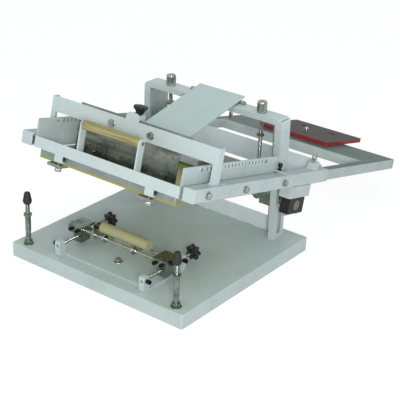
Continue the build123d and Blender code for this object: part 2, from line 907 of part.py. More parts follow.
with BuildPart() as end_stop:
    stop_x = stop_plate_x + stop_plate_sheet
    stop_line = across(level(world, 0, cross_bar_y, cylinder_z), stop_x)
    rod(stop_line, stop_diameter, cylinder_left - cylinder_seat - stop_x)
keep(end_stop, "end_stop")

for bar_y, row in ((bar_front_y, "front"), (bar_back_y, "back")):
    for side, hand in SIDES:
        with BuildPart() as roller:
            roller_face = across(level(world, 0, bar_y, bar_z), side * roller_x - roller_width / 2)
            with BuildSketch(roller_face):
                Circle(roller_diameter / 2)
                Circle(cross_bar_diameter / 2 + running_gap, mode=Mode.SUBTRACT)
            extrude(amount=roller_width)
            for groove_x in (-roller_width / 2, roller_width / 2 - 0.6):
                face = across(level(world, 0, bar_y, bar_z), side * roller_x + groove_x)
                with BuildSketch(face):
                    Circle(roller_diameter / 2 - roller_rim)
                    Circle(cross_bar_diameter / 2 + roller_rim + 1, mode=Mode.SUBTRACT)
                extrude(amount=0.6, mode=Mode.SUBTRACT)
        keep(roller, f"roller_{row}_{hand}")

with BuildPart() as work_cylinder:
    rod(
        across(level(world, 0, cross_bar_y, cylinder_z), cylinder_left),
        cylinder_diameter,
        cylinder_right - cylinder_left,
    )
    fillet(work_cylinder.edges(), 1.2)
keep(work_cylinder, "work_cylinder")

for side, hand in SIDES:
    with BuildPart() as jig_screw:
        hub_y = star_knob_y - star_knob_width / 2 - star_hub_length
        line = level(world, side * jig_rod_x, 0, rod_z)
        rod(facing(line, hub_y + 1), jig_rod_diameter, hub_y + 1 - jig_rod_front)
        rod(facing(line, star_knob_y), star_hub_diameter, star_knob_y - hub_y)
        lobe = star_knob_diameter / 2 * sin(pi / star_lobes) * 0.72
        with BuildSketch(facing(line, star_knob_y + star_knob_width / 2)):
            Circle(star_knob_diameter / 2 - lobe)
            with PolarLocations(star_knob_diameter / 2 - lobe, star_lobes):
                Circle(lobe)
        extrude(amount=star_knob_width)
        fillet(jig_screw.faces().sort_by(Axis.Y)[-1].edges(), 2.0)
    keep(jig_screw, f"jig_screw_{hand}")

# ================================================================ head: arms
for side, hand in SIDES:
    with BuildPart() as arm:
        with BuildSketch(facing(level(head, side * arm_centre, 0, arm_middle), arm_rear)):
            RectangleRounded(arm_size, arm_size, arm_corner)
        extrude(amount=arm_rear + arm_front)
        fillet(arm.faces().sort_by(Axis(head.origin, -head.y_dir))[-1].edges(), arm_corner * 0.5)
        with BuildSketch(facing(level(head, side * arm_centre, 0, arm_middle), arm_rear)):
            Rectangle(arm_size - 2 * arm_wall, arm_size - 2 * arm_wall)
        extrude(amount=arm_rear + arm_front - 2 * arm_wall, mode=Mode.SUBTRACT)
        for place in arm_bolt_places:
            rod(
                across(level(head, 0, -place, bolt_level), side * arm_centre - arm_size),
                bolt_diameter + 2 * hole_gap,
                2 * arm_size,
                mode=Mode.SUBTRACT,
            )
        rod(
            level(head, side * arm_centre, -clamp_place, arm_middle),
            clamp_thread + 2 * running_gap,
            arm_size,
            mode=Mode.SUBTRACT,
        )
        # boss of the tail's clamp screw
        with BuildSketch(level(head, side * arm_centre, -clamp_place, arm_top)):
            Rectangle(clamp_boss_base, clamp_boss_base)
        with BuildSketch(level(head, side * arm_centre, -clamp_place, arm_top + clamp_boss_height)):
            Rectangle(clamp_boss_top, clamp_boss_top)
        loft()
        rod(
            level(head, side * arm_centre, -clamp_place, arm_top),
            clamp_thread + 2 * running_gap,
            clamp_boss_height,
            mode=Mode.SUBTRACT,
        )
    with BuildPart(head) as cheek:
        slab(
            (side * arm_inner, side * arm_outer),
            (-cheek_ahead, cheek_behind),
            (arm_low - cheek_height, arm_low),
        )
        slab(
            (side * (arm_inner + cheek_sheet), side * (arm_outer - cheek_sheet)),
            (-cheek_ahead + cheek_sheet, cheek_behind - cheek_sheet),
            (arm_low - cheek_height + cheek_sheet, arm_low),
            mode=Mode.SUBTRACT,
        )
        for end in (-1, 1):
            rod(
                level(head, side * bearing_x, end * bearing_bolt_pitch / 2, bearing_top - 1),
                bearing_bolt_diameter + 2 * hole_gap,
                cheek_sheet + 2,
                mode=Mode.SUBTRACT,
            )
    with BuildPart(head) as straps:
        for place in strap_places:
            slab(
                (side * strap_inner, side * strap_outer),
                (-place - strap_width / 2, -place + strap_width / 2),
                (arm_top, arm_top + strap_sheet),
            )
            rod(
                level(head, side * strap_screw_x, -place, arm_top - 1),
                strap_screw_thread + 2 * hole_gap,
                strap_sheet + 2,
                mode=Mode.SUBTRACT,
            )
    arm_group = Compound(children=[arm.part, cheek.part, straps.part])
    arm_group.label = f"arm_{hand}"
    export_step(arm_group, f"parts/arm_{hand}.step")

with BuildPart(head) as pivot_bearings:
    for side, hand in SIDES:
        slab(
            (side * (arm_outer - bearing_width), side * arm_outer),
            (-bearing_length / 2, bearing_length / 2),
            (-bearing_low, bearing_top),
        )
    chamfer(pivot_bearings.edges().filter_by(Axis.X), bearing_edge)
    rod(
        across(head, -2 * arm_outer),
        pin_head_diameter + 2 * running_gap,
        4 * arm_outer,
        mode=Mode.SUBTRACT,
    )
    for side, hand in SIDES:
        for end in (-1, 1):
            rod(
                level(head, side * bearing_x, end * bearing_bolt_pitch / 2, -2 * bearing_low),
                bearing_bolt_diameter + 2 * hole_gap,
                4 * bearing_low,
                mode=Mode.SUBTRACT,
            )
keep(pivot_bearings, "pivot_bearings")

with BuildPart() as cross_member:
    with BuildSketch(facing(head, -cross_ahead + cross_sheet)):
        with Locations((0, (cross_low + cross_high) / 2)):
            Rectangle(2 * arm_inner, cross_high - cross_low)
    extrude(amount=cross_sheet)
    for side, hand in SIDES:
        with BuildSketch(across(head, min(side * arm_inner, side * (arm_inner - cross_sheet)))):
            with BuildLine():
                Polyline(
                    (-cross_flange_front, arm_low),
                    (-cross_flange_front, arm_top),
                    (-cross_ahead, cross_high),
                    (-cross_ahead + cross_sheet, cross_high),
                    (-cross_flange_rear, cross_flange_end),
                    (-cross_flange_rear, cross_low),
                    (-cross_ahead, cross_low),
                    close=True,
                )
            make_face()
        extrude(amount=cross_sheet)
keep(cross_member, "cross_member")

with BuildPart(head) as outer_rails:
    for side, hand in SIDES:
        web_limits = (side * (arm_inner - rail_sheet), side * arm_inner)
        slab(web_limits, (-rail_front, -rail_rear), (rail_low, rail_high))
        for low in (rail_low, rail_high - rail_sheet):
            slab((side * rail_x, side * arm_inner), (-rail_front, -rail_rear), (low, low + rail_sheet))
        for place in arm_bolt_places:
            rod(
                across(level(head, 0, -place, bolt_level), side * arm_inner - rail_depth),
                bolt_diameter + 2 * hole_gap,
                2 * rail_depth,
                mode=Mode.SUBTRACT,
            )
keep(outer_rails, "outer_rails")


def side_bolt(side, place):
    """A hexagon bolt in the outer face of an arm, through to the rail's web."""
    line = level(head, 0, -place, bolt_level)
    inner = arm_inner - rail_sheet
    outer = arm_outer + washer_height
    rod(across(line, min(side * inner, side * arm_outer)), bolt_diameter, arm_outer - inner)
    rod(across(line, min(side * arm_outer, side * outer)), washer_diameter, washer_height)
    hexagon(across(line, min(side * outer, side * (outer + bolt_head))), bolt_flats, bolt_head)


with BuildPart() as head_bolts:
    for side, hand in SIDES:
        for place in arm_bolt_places:
            side_bolt(side, place)
        for end in (-1, 1):
            foot = level(
                head,
                side * bearing_x,
                end * bearing_bolt_pitch / 2,
                -bearing_low - bearing_bolt_head,
            )
            hexagon(foot, bearing_bolt_flats, bearing_bolt_head)
            rod(foot, bearing_bolt_diameter, bearing_bolt_head + bearing_low + bearing_top + cheek_sheet)
        face = facing(level(head, side * bridge_bolt_x, 0, bridge_bolt_level), -bridge_ahead)
        rod(face, washer_diameter, washer_height)
        hexagon(face.offset(washer_height), bolt_flats, bolt_head)
        nut_face = facing(level(head, side * bridge_bolt_x, 0, bridge_bolt_level), -squeegee_back + seat_gap)
        hexagon(nut_face.offset(-lift_nut_height), bolt_flats, lift_nut_height)
        rod(nut_face, bolt_diameter, bridge_ahead - squeegee_back + seat_gap)
keep(head_bolts, "head_bolts")

with BuildPart() as strap_screws:
    for side, hand in SIDES:
        for place in strap_places:
            top = arm_top + strap_sheet
            rod(
                level(head, side * strap_screw_x, -place, arm_top),
                strap_screw_thread,
                strap_sheet + strap_screw_rise,
            )
            rod(
                level(head, side * strap_screw_x, -place, top + strap_screw_rise - strap_screw_height / 2),
                strap_screw_head,
                strap_screw_height,
            )
            hexagon(level(head, side * strap_screw_x, -place, top), strap_screw_head - 1, 3.5)
keep(strap_screws, "strap_screws")

# ================================================================ head: bridge
bar_bottom = bridge_top - bridge_height

with BuildPart(head) as bridge_bar:
    slab(
        (-bridge_half, bridge_half),
        (-bridge_ahead, -bridge_ahead + bridge_sheet),
        (bar_bottom, bridge_top),
    )
    for side, hand in SIDES:
        slab(
            (side * (bridge_half - bridge_sheet), side * bridge_half),
            (-bridge_ahead, -bridge_ahead + bridge_return),
            (arm_top, bridge_top),
        )
        slab(
            (side * (bridge_half - leg_width), side * bridge_half),
            (-bridge_ahead, -bridge_ahead + bridge_sheet),
            (arm_top, bar_bottom),
        )
        slab(
            (side * (bridge_half - foot_width), side * bridge_half),
            (-bridge_ahead, -bridge_ahead + bridge_return),
            (arm_top, arm_top + bridge_sheet),
        )
    slab(
        (-boss_half, boss_half),
        (-bridge_ahead, -boss_rear),
        (boss_low, boss_high),
    )
    with BuildSketch(facing(head, -bridge_ahead)) as tab:
        with BuildLine():
            Polyline(
                (-tab_half_base, tab_base),
                (-tab_half_top, tab_top),
                (tab_half_top, tab_top),
                (tab_half_base, tab_base),
                close=True,
            )
        make_face()
        upper = tab.vertices().sort_by(Axis(head.origin, head.z_dir))[-2:]
        fillet(upper, tab_corner)
    extrude(amount=bridge_sheet)
    rod(
        level(head, 0, -pressure_ahead, boss_low - 1),
        pressure_thread + 2 * running_gap,
        boss_high - boss_low + 2,
        mode=Mode.SUBTRACT,
    )
    for side, hand in SIDES:
        rod(
            facing(level(head, side * bridge_bolt_x, 0, bridge_bolt_level), -bridge_ahead + 2 * bridge_sheet),
            bolt_diameter + 2 * hole_gap,
            4 * bridge_sheet,
            mode=Mode.SUBTRACT,
        )
keep(bridge_bar, "bridge_bar")

# ================================================================ squeegee
with BuildPart() as squeegee_plate:
    with BuildSketch(facing(head, -squeegee_back)):
        with BuildLine():
            Polyline(
                (squeegee_left, squeegee_low),
                (squeegee_left, squeegee_high),
                (-notch_half, squeegee_high),
                (-notch_half, notch_low),
                (notch_half, notch_low),
                (notch_half, squeegee_high),
                (squeegee_right, squeegee_high),
                (squeegee_right, squeegee_step),
                (squeegee_step_x, squeegee_step),
                (squeegee_step_x, squeegee_low),
                close=True,
            )
        make_face()
        for side, hand in SIDES:
            with Locations((side * bridge_bolt_x, bridge_bolt_level - squeegee_travel / 2)):
                SlotOverall(
                    squeegee_travel + bolt_diameter + 2 * hole_gap,
                    bolt_diameter + 2 * hole_gap,
                    rotation=90,
                    mode=Mode.SUBTRACT,
                )
        with Locations(*[(place, squeegee_screw_level) for place in squeegee_screw_places]):
            Circle(small_screw / 2 + hole_gap, mode=Mode.SUBTRACT)
        with Locations(*[(place, upper_screw_level) for place in upper_screw_places]):
            Circle(small_screw / 2 + hole_gap, mode=Mode.SUBTRACT)
    extrude(amount=squeegee_sheet)
keep(squeegee_plate, "squeegee_plate")

blade_front = squeegee_back - seat_gap / 2
blade_back = blade_front - blade_thickness
clamp_back = blade_back - seat_gap / 2 - back_clamp_sheet

with BuildPart(head) as squeegee_holder:
    slab(
        (holder_left, holder_right),
        (-squeegee_back, -squeegee_back + holder_depth),
        (holder_low, holder_low + holder_height),
    )
    slab(
        (-lug_half, lug_half),
        (-squeegee_back, -squeegee_back + bridge_sheet),
        (lug_root, lug_low + lug_height),
    )
    slab(
        (-lug_half, lug_half),
        (-squeegee_back, -lug_rear),
        (lug_low, lug_low + lug_height),
    )
    slab(
        (back_clamp_left, back_clamp_right),
        (-clamp_back - back_clamp_sheet, -clamp_back),
        (back_clamp_low, back_clamp_low + back_clamp_height),
    )
    rod(
        level(head, 0, -pressure_ahead, lug_low - 1),
        pressure_thread + 2 * running_gap,
        lug_height + 2,
        mode=Mode.SUBTRACT,
    )
    for places, height in (
        (squeegee_screw_places, squeegee_screw_level),
        (upper_screw_places, upper_screw_level),
    ):
        for place in places:
            rod(
                facing(level(head, place, 0, height), -squeegee_front + 2 * holder_depth),
                small_screw + 2 * hole_gap,
                3 * holder_depth,
                mode=Mode.SUBTRACT,
            )
keep(squeegee_holder, "squeegee_holder")

with BuildPart(head) as squeegee_rubber:
    slab(
        (back_clamp_left + blade_inset, back_clamp_right - blade_inset),
        (-blade_front, -blade_back),
        (blade_low, blade_high),
    )
    for place in squeegee_screw_places:
        rod(
            facing(level(head, place, 0, squeegee_screw_level), -blade_back + 1),
            small_screw + 2 * hole_gap,
            blade_thickness + 2,
            mode=Mode.SUBTRACT,
        )
keep(squeegee_rubber, "squeegee_rubber")

with BuildPart() as squeegee_screws:
    for places, height, back in (
        (squeegee_screw_places, squeegee_screw_level, clamp_back),
        (upper_screw_places, upper_screw_level, squeegee_back - holder_depth),
    ):
        for place in places:
            line = level(head, place, 0, height)
            rod(facing(line, -squeegee_front), small_head, small_head_height)
            rod(facing(line, -back), small_screw, squeegee_front - back)
keep(squeegee_screws, "squeegee_screws")

with BuildPart() as pressure_knob:
    rod(
        level(head, 0, -pressure_ahead, lug_low - seat_gap - pressure_collar_height),
        pressure_collar,
        pressure_collar_height,
    )
    rod(
        level(head, 0, -pressure_ahead, lug_low - seat_gap - 1),
        pressure_thread,
        knob_low - lug_low + 2,
    )
    with BuildSketch(level(head, 0, -pressure_ahead, knob_low)):
        Circle(knob_neck / 2)
    extrude(amount=knob_height * 0.4)
    scallop = knob_diameter * 0.09
    with BuildSketch(level(head, 0, -pressure_ahead, knob_low + knob_height)):
        Circle(knob_diameter / 2)
        with PolarLocations(knob_diameter / 2 + scallop * 0.35, knob_lobes):
            Circle(scallop, mode=Mode.SUBTRACT)
    extrude(amount=-knob_height * 0.75, taper=14)
keep(pressure_knob, "pressure_knob")

# ================================================================ tail
with BuildPart() as tail_frame:
    for side, hand in SIDES:
        tube_line = level(head, side * arm_centre, 0, tail_middle)
        with BuildSketch(facing(tube_line, -tail_end)):
            RectangleRounded(tail_size, tail_size, tail_wall)
        extrude(amount=tail_inner_end - tail_end)
        with BuildSketch(facing(tube_line, -tail_end - tail_wall)):
            Rectangle(tail_size - 2 * tail_wall, tail_size - 2 * tail_wall)
        extrude(amount=tail_inner_end - tail_end, mode=Mode.SUBTRACT)
with BuildPart(head) as rear_beam:
    slab(
        (-tail_inner_face, tail_inner_face),
        (-beam_front, -tail_end),
        (tail_low, tail_high),
    )
    slab(
        (-tail_inner_face, tail_inner_face),
        (-beam_front + tail_wall, -tail_end - tail_wall),
        (tail_low, tail_high - tail_wall),
        mode=Mode.SUBTRACT,
    )
    rod(
        level(head, weight_middle, -weight_bolt_ahead, tail_low),
        bolt_diameter + 2 * hole_gap,
        2 * tail_size,
        mode=Mode.SUBTRACT,
    )
tail_group = Compound(children=[tail_frame.part, rear_beam.part])
tail_group.label = "tail_frame"
export_step(tail_group, "parts/tail_frame.step")

with BuildPart() as counterweight_plate:
    with BuildSketch(level(head, weight_middle, -(weight_front + weight_rear) / 2, tail_high)):
        RectangleRounded(weight_right - weight_left, weight_front - weight_rear, weight_corner)
    extrude(amount=weight_thickness)
    rod(
        level(head, weight_middle, -weight_bolt_ahead, tail_high - 1),
        bolt_diameter + 2 * hole_gap,
        weight_thickness + 2,
        mode=Mode.SUBTRACT,
    )
    for side, hand in SIDES:
        hole_x = weight_middle + side * weight_hole_pitch / 2
        rod(
            level(head, hole_x, -weight_hole_ahead, tail_high - 1),
            weight_hole,
            weight_thickness + 2,
            mode=Mode.SUBTRACT,
        )
        rod(
            level(head, hole_x, -weight_hole_ahead, tail_high + weight_thickness / 2),
            weight_sink,
            weight_thickness,
            mode=Mode.SUBTRACT,
        )
keep(counterweight_plate, "counterweight_plate")

with BuildPart() as counterweight_bolt:
    weight_top = tail_high + weight_thickness
    line_low = tail_high - tail_wall
    rod(level(head, weight_middle, -weight_bolt_ahead, weight_top), washer_diameter, washer_height)
    hexagon(level(head, weight_middle, -weight_bolt_ahead, weight_top + washer_height), bolt_flats, bolt_head)
    with Locations(level(head, weight_middle, -weight_bolt_ahead, weight_top + washer_height + bolt_head)):
        Sphere(bolt_flats * 0.46)
    rod(
        level(head, weight_middle, -weight_bolt_ahead, line_low - lift_nut_height),
        bolt_diameter,
        lift_nut_height + tail_wall + weight_thickness + 1,
    )
    hexagon(
        level(head, weight_middle, -weight_bolt_ahead, line_low - lift_nut_height + 1),
        bolt_flats,
        lift_nut_height - 1,
    )
keep(counterweight_bolt, "counterweight_bolt")

for side, hand in SIDES:
    with BuildPart() as tail_clamp:
        boss_top = arm_top + clamp_boss_height
        foot = tail_high + seat_gap / 2
        stem_top = boss_top + clamp_stem
        rod(
            level(head, side * arm_centre, -clamp_place, foot),
            clamp_thread,
            stem_top - foot,
        )
        rod(
            level(head, side * arm_centre, -clamp_place, stem_top),
            clamp_hub_diameter,
            clamp_wing_height * 0.7,
        )
        wing_face = across(level(head, 0, -clamp_place, stem_top), side * arm_centre - clamp_wing_sheet / 2)
        with BuildSketch(wing_face):
            for end in (-1, 1):
                with Locations((end * (clamp_wing_span - clamp_wing_height) / 2, clamp_wing_lift)):
                    Circle(clamp_wing_height / 2)
            with Locations((0, clamp_wing_height * 0.35)):
                Rectangle(clamp_wing_span - clamp_wing_height, clamp_wing_height * 0.7)
        extrude(amount=clamp_wing_sheet)
    keep(tail_clamp, f"tail_clamp_{hand}")

# ================================================================ screen carriage
slot_places = [slot_first - number * slot_pitch for number in range(slot_count)]
slot_level = (strip_low + strip_high) / 2

with BuildPart() as side_plates:
    for side, hand in SIDES:
        start = min(side * plate_inner, side * carriage_half)
        with BuildSketch(across(head, start)) as outline:
            with BuildLine():
                Polyline(
                    (-bar_back, plate_low),
                    (-bar_back, plate_high),
                    (-carriage_rear - plate_slope_length, plate_high),
                    (-carriage_rear, plate_high - plate_slope_drop),
                    (-carriage_rear, plate_low),
                    close=True,
                )
            make_face()
            corner = outline.vertices().sort_by(Axis(head.origin, head.z_dir - head.y_dir))[-1]
            fillet(corner, plate_corner)
            with Locations(*[(-place, slot_level) for place in slot_places]):
                Rectangle(slot_width, slot_height, mode=Mode.SUBTRACT)
            for end in (strip_front - strip_screw, strip_rear + strip_screw):
                with Locations((-end, slot_level)):
                    Circle(strip_screw / 2 + hole_gap, mode=Mode.SUBTRACT)
        extrude(amount=carriage_sheet)
        flange_start = min(side * (plate_inner - plate_flange), side * carriage_half)
        with BuildSketch(across(head, flange_start)):
            with Locations((-(bar_back + carriage_rear) / 2, plate_low + carriage_sheet / 2)):
                Rectangle(bar_back - carriage_rear, carriage_sheet)
        extrude(amount=plate_flange + carriage_sheet)
keep(side_plates, "side_plates")

with BuildPart() as index_strips:
    for side, hand in SIDES:
        start = min(side * carriage_half, side * (carriage_half + strip_sheet))
        with BuildSketch(across(head, start)):
            with Locations((-(strip_front + strip_rear) / 2, slot_level)):
                RectangleRounded(strip_front - strip_rear, strip_high - strip_low, strip_sheet)
            with Locations(*[(-place, slot_level) for place in slot_places]):
                Rectangle(slot_width, slot_height, mode=Mode.SUBTRACT)
            for end in (strip_front - strip_screw, strip_rear + strip_screw):
                with Locations((-end, slot_level)):
                    Circle(strip_screw / 2 + hole_gap, mode=Mode.SUBTRACT)
        extrude(amount=strip_sheet)
keep(index_strips, "index_strips")

with BuildPart() as carriage_screws:
    for side, hand in SIDES:
        for end in (strip_front - strip_screw, strip_rear + strip_screw):
            line = level(head, 0, -end, slot_level)
            outer = carriage_half + strip_sheet
            rod(across(line, min(side * plate_inner, side * outer)), strip_screw, outer - plate_inner)
            rod(
                across(line, min(side * outer, side * (outer + strip_screw_height))),
                strip_screw_head,
                strip_screw_height,
            )
        line = level(head, 0, -post_ahead, handle_level)
        outer = handle_half + post_sheet
        inner = handle_half - handle_screw_depth
        rod(across(line, min(side * inner, side * outer)), small_screw, outer - inner)
        rod(
            across(line, min(side * outer, side * (outer + small_head_height))),
            small_head,
            small_head_height,
        )
keep(carriage_screws, "carriage_screws")

with BuildPart() as front_bar:
    with BuildSketch(facing(head, -bar_back)) as bar:
        with Locations((0, (bar_low + bar_high) / 2)):
            Rectangle(2 * carriage_half, bar_high - bar_low)
        for side, hand in SIDES:
            with Locations((side * lug_x, bar_low - lug_drop / 2)):
                Rectangle(lug_width, lug_drop)
    extrude(amount=carriage_sheet)
    with BuildSketch(level(head, 0, -bar_back + bar_flange / 2, bar_low)):
        Rectangle(2 * (plate_inner - plate_flange), bar_flange)
    extrude(amount=carriage_sheet)
    for side, hand in SIDES:
        foot_depth = carriage_front - frame_front - 3 * seat_gap
        with BuildSketch(level(head, side * lug_x, -carriage_front + foot_depth / 2, bar_low - lug_drop)):
            Rectangle(lug_width, foot_depth)
        extrude(amount=-lug_foot)
        rod(
            level(head, side * lug_x, -clamp_screw_ahead, bar_low - lug_drop - 2 * lug_foot),
            clamp_screw_diameter + 2 * running_gap,
            3 * lug_foot,
            mode=Mode.SUBTRACT,
        )
with BuildPart() as handle_posts:
    post_foot = bar_low + carriage_sheet
    for side, hand in SIDES:
        start = min(side * handle_half, side * (handle_half + post_sheet))
        with BuildSketch(across(head, start)):
            with Locations((-post_ahead, (post_foot + handle_level) / 2)):
                Rectangle(post_width, handle_level - post_foot)
            with Locations((-post_ahead, handle_level)):
                Circle(post_width / 2)
                Circle(small_screw / 2 + hole_gap, mode=Mode.SUBTRACT)
        extrude(amount=post_sheet)
front_group = Compound(children=[front_bar.part, handle_posts.part])
front_group.label = "front_bar"
export_step(front_group, "parts/front_bar.step")

with BuildPart(head) as rear_bar:
    slab(
        (-plate_inner, plate_inner),
        (-rear_bar_ahead - carriage_sheet, -rear_bar_ahead),
        (bar_low + 2 * carriage_sheet, bar_high),
    )
    slab(
        (-(plate_inner - plate_flange), plate_inner - plate_flange),
        (-rear_bar_ahead - bar_flange, -rear_bar_ahead),
        (bar_low, bar_low + 2 * carriage_sheet),
    )
    for side, hand in SIDES:
        clip = (side * clip_x - clip_width / 2, side * clip_x + clip_width / 2)
        clip_low = frame_low - mesh_sheet - seat_gap - carriage_sheet
        slab(clip, (-rear_bar_ahead - carriage_sheet, -rear_bar_ahead), (clip_low, bar_high))
        slab(
            clip,
            (-frame_rear - clip_reach, -rear_bar_ahead),
            (clip_low, clip_low + carriage_sheet),
        )
keep(rear_bar, "rear_bar")

with BuildPart(head) as inner_rails:
    for side, hand in SIDES:
        slab(
            (side * carriage_half, side * (carriage_half + runner_depth)),
            (-runner_front, -runner_rear),
            (runner_low, runner_high),
        )
keep(inner_rails, "inner_rails")

with BuildPart() as handle_bar:
    line = level(head, 0, -post_ahead, handle_level)
    rod(across(line, -handle_half + handle_gap), handle_diameter, 2 * (handle_half - handle_gap))
    fillet(handle_bar.edges(), 1.0)
    for side, hand in SIDES:
        bore_depth = handle_screw_depth + 2
        start = min(side * handle_half, side * (handle_half - bore_depth))
        rod(across(line, start), small_screw + 2 * running_gap, bore_depth, mode=Mode.SUBTRACT)
keep(handle_bar, "handle_bar")

frame_middle = -(frame_front + frame_rear) / 2
frame_length = frame_front - frame_rear

with BuildPart() as screen_frame:
    with BuildSketch(level(head, 0, frame_middle, frame_low)):
        RectangleRounded(2 * frame_half, frame_length, frame_corner)
        Rectangle(2 * (frame_half - frame_bar), frame_length - 2 * frame_bar, mode=Mode.SUBTRACT)
    extrude(amount=frame_height)
keep(screen_frame, "screen_frame")

with BuildPart() as screen_mesh:
    with BuildSketch(level(head, 0, frame_middle, frame_low - mesh_sheet)):
        Rectangle(2 * (frame_half - mesh_inset), frame_length - 2 * mesh_inset)
    extrude(amount=mesh_sheet)
keep(screen_mesh, "screen_mesh")

clamp_top = frame_low - mesh_sheet - seat_gap

with BuildPart(head) as screen_clamps:
    for side, hand in SIDES:
        slab(
            (side * lug_x - clamp_bar_long, side * lug_x + clamp_bar_short),
            (-carriage_front, -carriage_front + clamp_bar_depth),
            (clamp_top - clamp_bar_height, clamp_top),
        )
        rod(
            level(head, side * lug_x, -clamp_screw_ahead, clamp_top - 2 * clamp_bar_height),
            clamp_screw_diameter + 2 * running_gap,
            3 * clamp_bar_height,
            mode=Mode.SUBTRACT,
        )
keep(screen_clamps, "screen_clamps")

for side, hand in SIDES:
    with BuildPart() as clamp_screw:
        under = clamp_top - clamp_bar_height - seat_gap
        line = level(head, side * lug_x, -clamp_screw_ahead, under - clamp_head_height)
        with BuildSketch(line):
            Circle(clamp_head_diameter / 2)
            with PolarLocations(clamp_head_diameter / 2, 12):
                Circle(1.0, mode=Mode.SUBTRACT)
        extrude(amount=clamp_head_height)
        rod(line, clamp_screw_diameter, bar_low - lug_drop + 2 - under + clamp_head_height)
    keep(clamp_screw, f"clamp_screw_{hand}")
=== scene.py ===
"""Dressed model of the tabletop screen printing press for round ware.

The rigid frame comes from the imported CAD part. This script gives every one of
its nodes a finish, and rebuilds the threaded, knurled and woven pieces with
the detail that a plain solid leaves out. All sizes are in metres.
"""
from __future__ import annotations

import logging
import math
from dataclasses import dataclass, field
from enum import Enum
from typing import Sequence

import bpy
import numpy as np
from mathutils import Matrix

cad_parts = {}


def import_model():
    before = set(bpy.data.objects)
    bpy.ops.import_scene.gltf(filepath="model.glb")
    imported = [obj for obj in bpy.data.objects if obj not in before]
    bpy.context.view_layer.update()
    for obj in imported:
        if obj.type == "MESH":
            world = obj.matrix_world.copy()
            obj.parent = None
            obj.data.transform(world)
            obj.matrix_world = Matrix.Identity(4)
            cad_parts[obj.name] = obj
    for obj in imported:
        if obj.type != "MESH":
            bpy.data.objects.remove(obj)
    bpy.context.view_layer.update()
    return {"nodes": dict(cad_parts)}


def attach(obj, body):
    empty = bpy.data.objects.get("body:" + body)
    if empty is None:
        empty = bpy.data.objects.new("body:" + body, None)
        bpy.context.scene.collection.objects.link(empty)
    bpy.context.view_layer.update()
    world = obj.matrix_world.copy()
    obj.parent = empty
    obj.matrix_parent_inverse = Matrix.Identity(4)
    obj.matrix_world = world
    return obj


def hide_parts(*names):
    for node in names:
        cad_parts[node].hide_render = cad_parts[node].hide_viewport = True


LOG = logging.getLogger("press")
TURN = 2.0 * math.pi
M10_PITCH = 0.0015
M8_PITCH = 0.00125
M6_PITCH = 0.001


# ---------------------------------------------------------------------------
# Places and surfaces
# ---------------------------------------------------------------------------
@dataclass(frozen=True)
class Place:
    """An origin and the directions that a shape's x, y and z take there."""

    origin: tuple[float, float, float] = (0.0, 0.0, 0.0)
    x: tuple[float, float, float] = (1.0, 0.0, 0.0)
    y: tuple[float, float, float] = (0.0, 1.0, 0.0)
    z: tuple[float, float, float] = (0.0, 0.0, 1.0)

    def carry(self, points: np.ndarray) -> np.ndarray:
        """Points of the shape's own space, carried to this place."""
        return np.asarray(self.origin) + points @ np.array([self.x, self.y, self.z])

    def at(self, x: float, y: float, z: float) -> Place:
        """The same directions at a point given in this place's own space."""
        moved = self.carry(np.array([x, y, z]))
        return Place(tuple(moved), self.x, self.y, self.z)

    def along_y(self, forward: bool = True) -> Place:
        """A place whose z runs along this one's y, or against it.

        Args:
            forward: whether z runs along y rather than against it.

        Returns:
            The place, with the same origin.
        """
        sign = 1.0 if forward else -1.0
        new_z = tuple(sign * c for c in self.y)
        new_y = tuple(-sign * c for c in self.z)
        return Place(self.origin, self.x, new_y, new_z)

    def along_x(self, forward: bool = True) -> Place:
        """A place whose z runs along this one's x, or against it.

        Args:
            forward: whether z runs along x rather than against it.

        Returns:
            The place, with the same origin.
        """
        sign = 1.0 if forward else -1.0
        new_z = tuple(sign * c for c in self.x)
        new_x = tuple(-sign * c for c in self.z)
        return Place(self.origin, new_x, self.y, new_z)


TILT = math.radians(13.5)
HEAD = Place(
    (0.0, 0.188, 0.1325),
    (1.0, 0.0, 0.0),
    (0.0, math.cos(TILT), -math.sin(TILT)),
    (0.0, math.sin(TILT), math.cos(TILT)),
)
WORLD = Place()


@dataclass(frozen=True)
class Skin:
    """A grid of points that is skinned with quads.

    Attributes:
        points: rows by columns by 3, in the shape's own space.
        closed: whether the last column joins the first.
        capped: whether the first and last rows are filled.
    """

    points: np.ndarray
    closed: bool = True
    capped: bool = True

    def faces(self, start: int) -> list[list[int]]:
        """The quads between neighbouring points, and the two end caps.

        Args:
            start: number of this skin's first point in its mesh.

        Returns:
            The polygons, each a list of point numbers.
        """
        rows, columns = self.points.shape[:2]
        row = np.arange(rows - 1)[:, None] * columns
        column = np.arange(columns if self.closed else columns - 1)[None, :]
        after = (column + 1) % columns
        quads = np.stack(
            [row + column, row + after, row + columns + after, row + columns + column], axis=-1
        )
        polygons = (quads.reshape(-1, 4) + start).tolist()
        if self.capped and self.closed:
            ring = start + np.arange(columns)
            polygons.append(ring[::-1].tolist())
            polygons.append((ring + (rows - 1) * columns).tolist())
        return polygons


def angles(count: int) -> np.ndarray:
    """A row of equal angles round a full turn."""
    return np.linspace(0.0, TURN, count, endpoint=False)[None, :]


def turned(radius: np.ndarray, height: np.ndarray, around: np.ndarray) -> np.ndarray:
    """Points at (radius cos a, radius sin a, height), all three broadcast together."""
    radius, height, around = np.broadcast_arrays(radius, height, around)
    return np.stack([radius * np.cos(around), radius * np.sin(around), height], axis=-1)


def lathe(profile: Sequence[tuple[float, float]], columns: int = 48) -> Skin:
    """A profile of (radius, height) pairs carried round z."""
    pairs = np.array(profile)
    return Skin(turned(pairs[:, :1], pairs[:, 1:], angles(columns)))


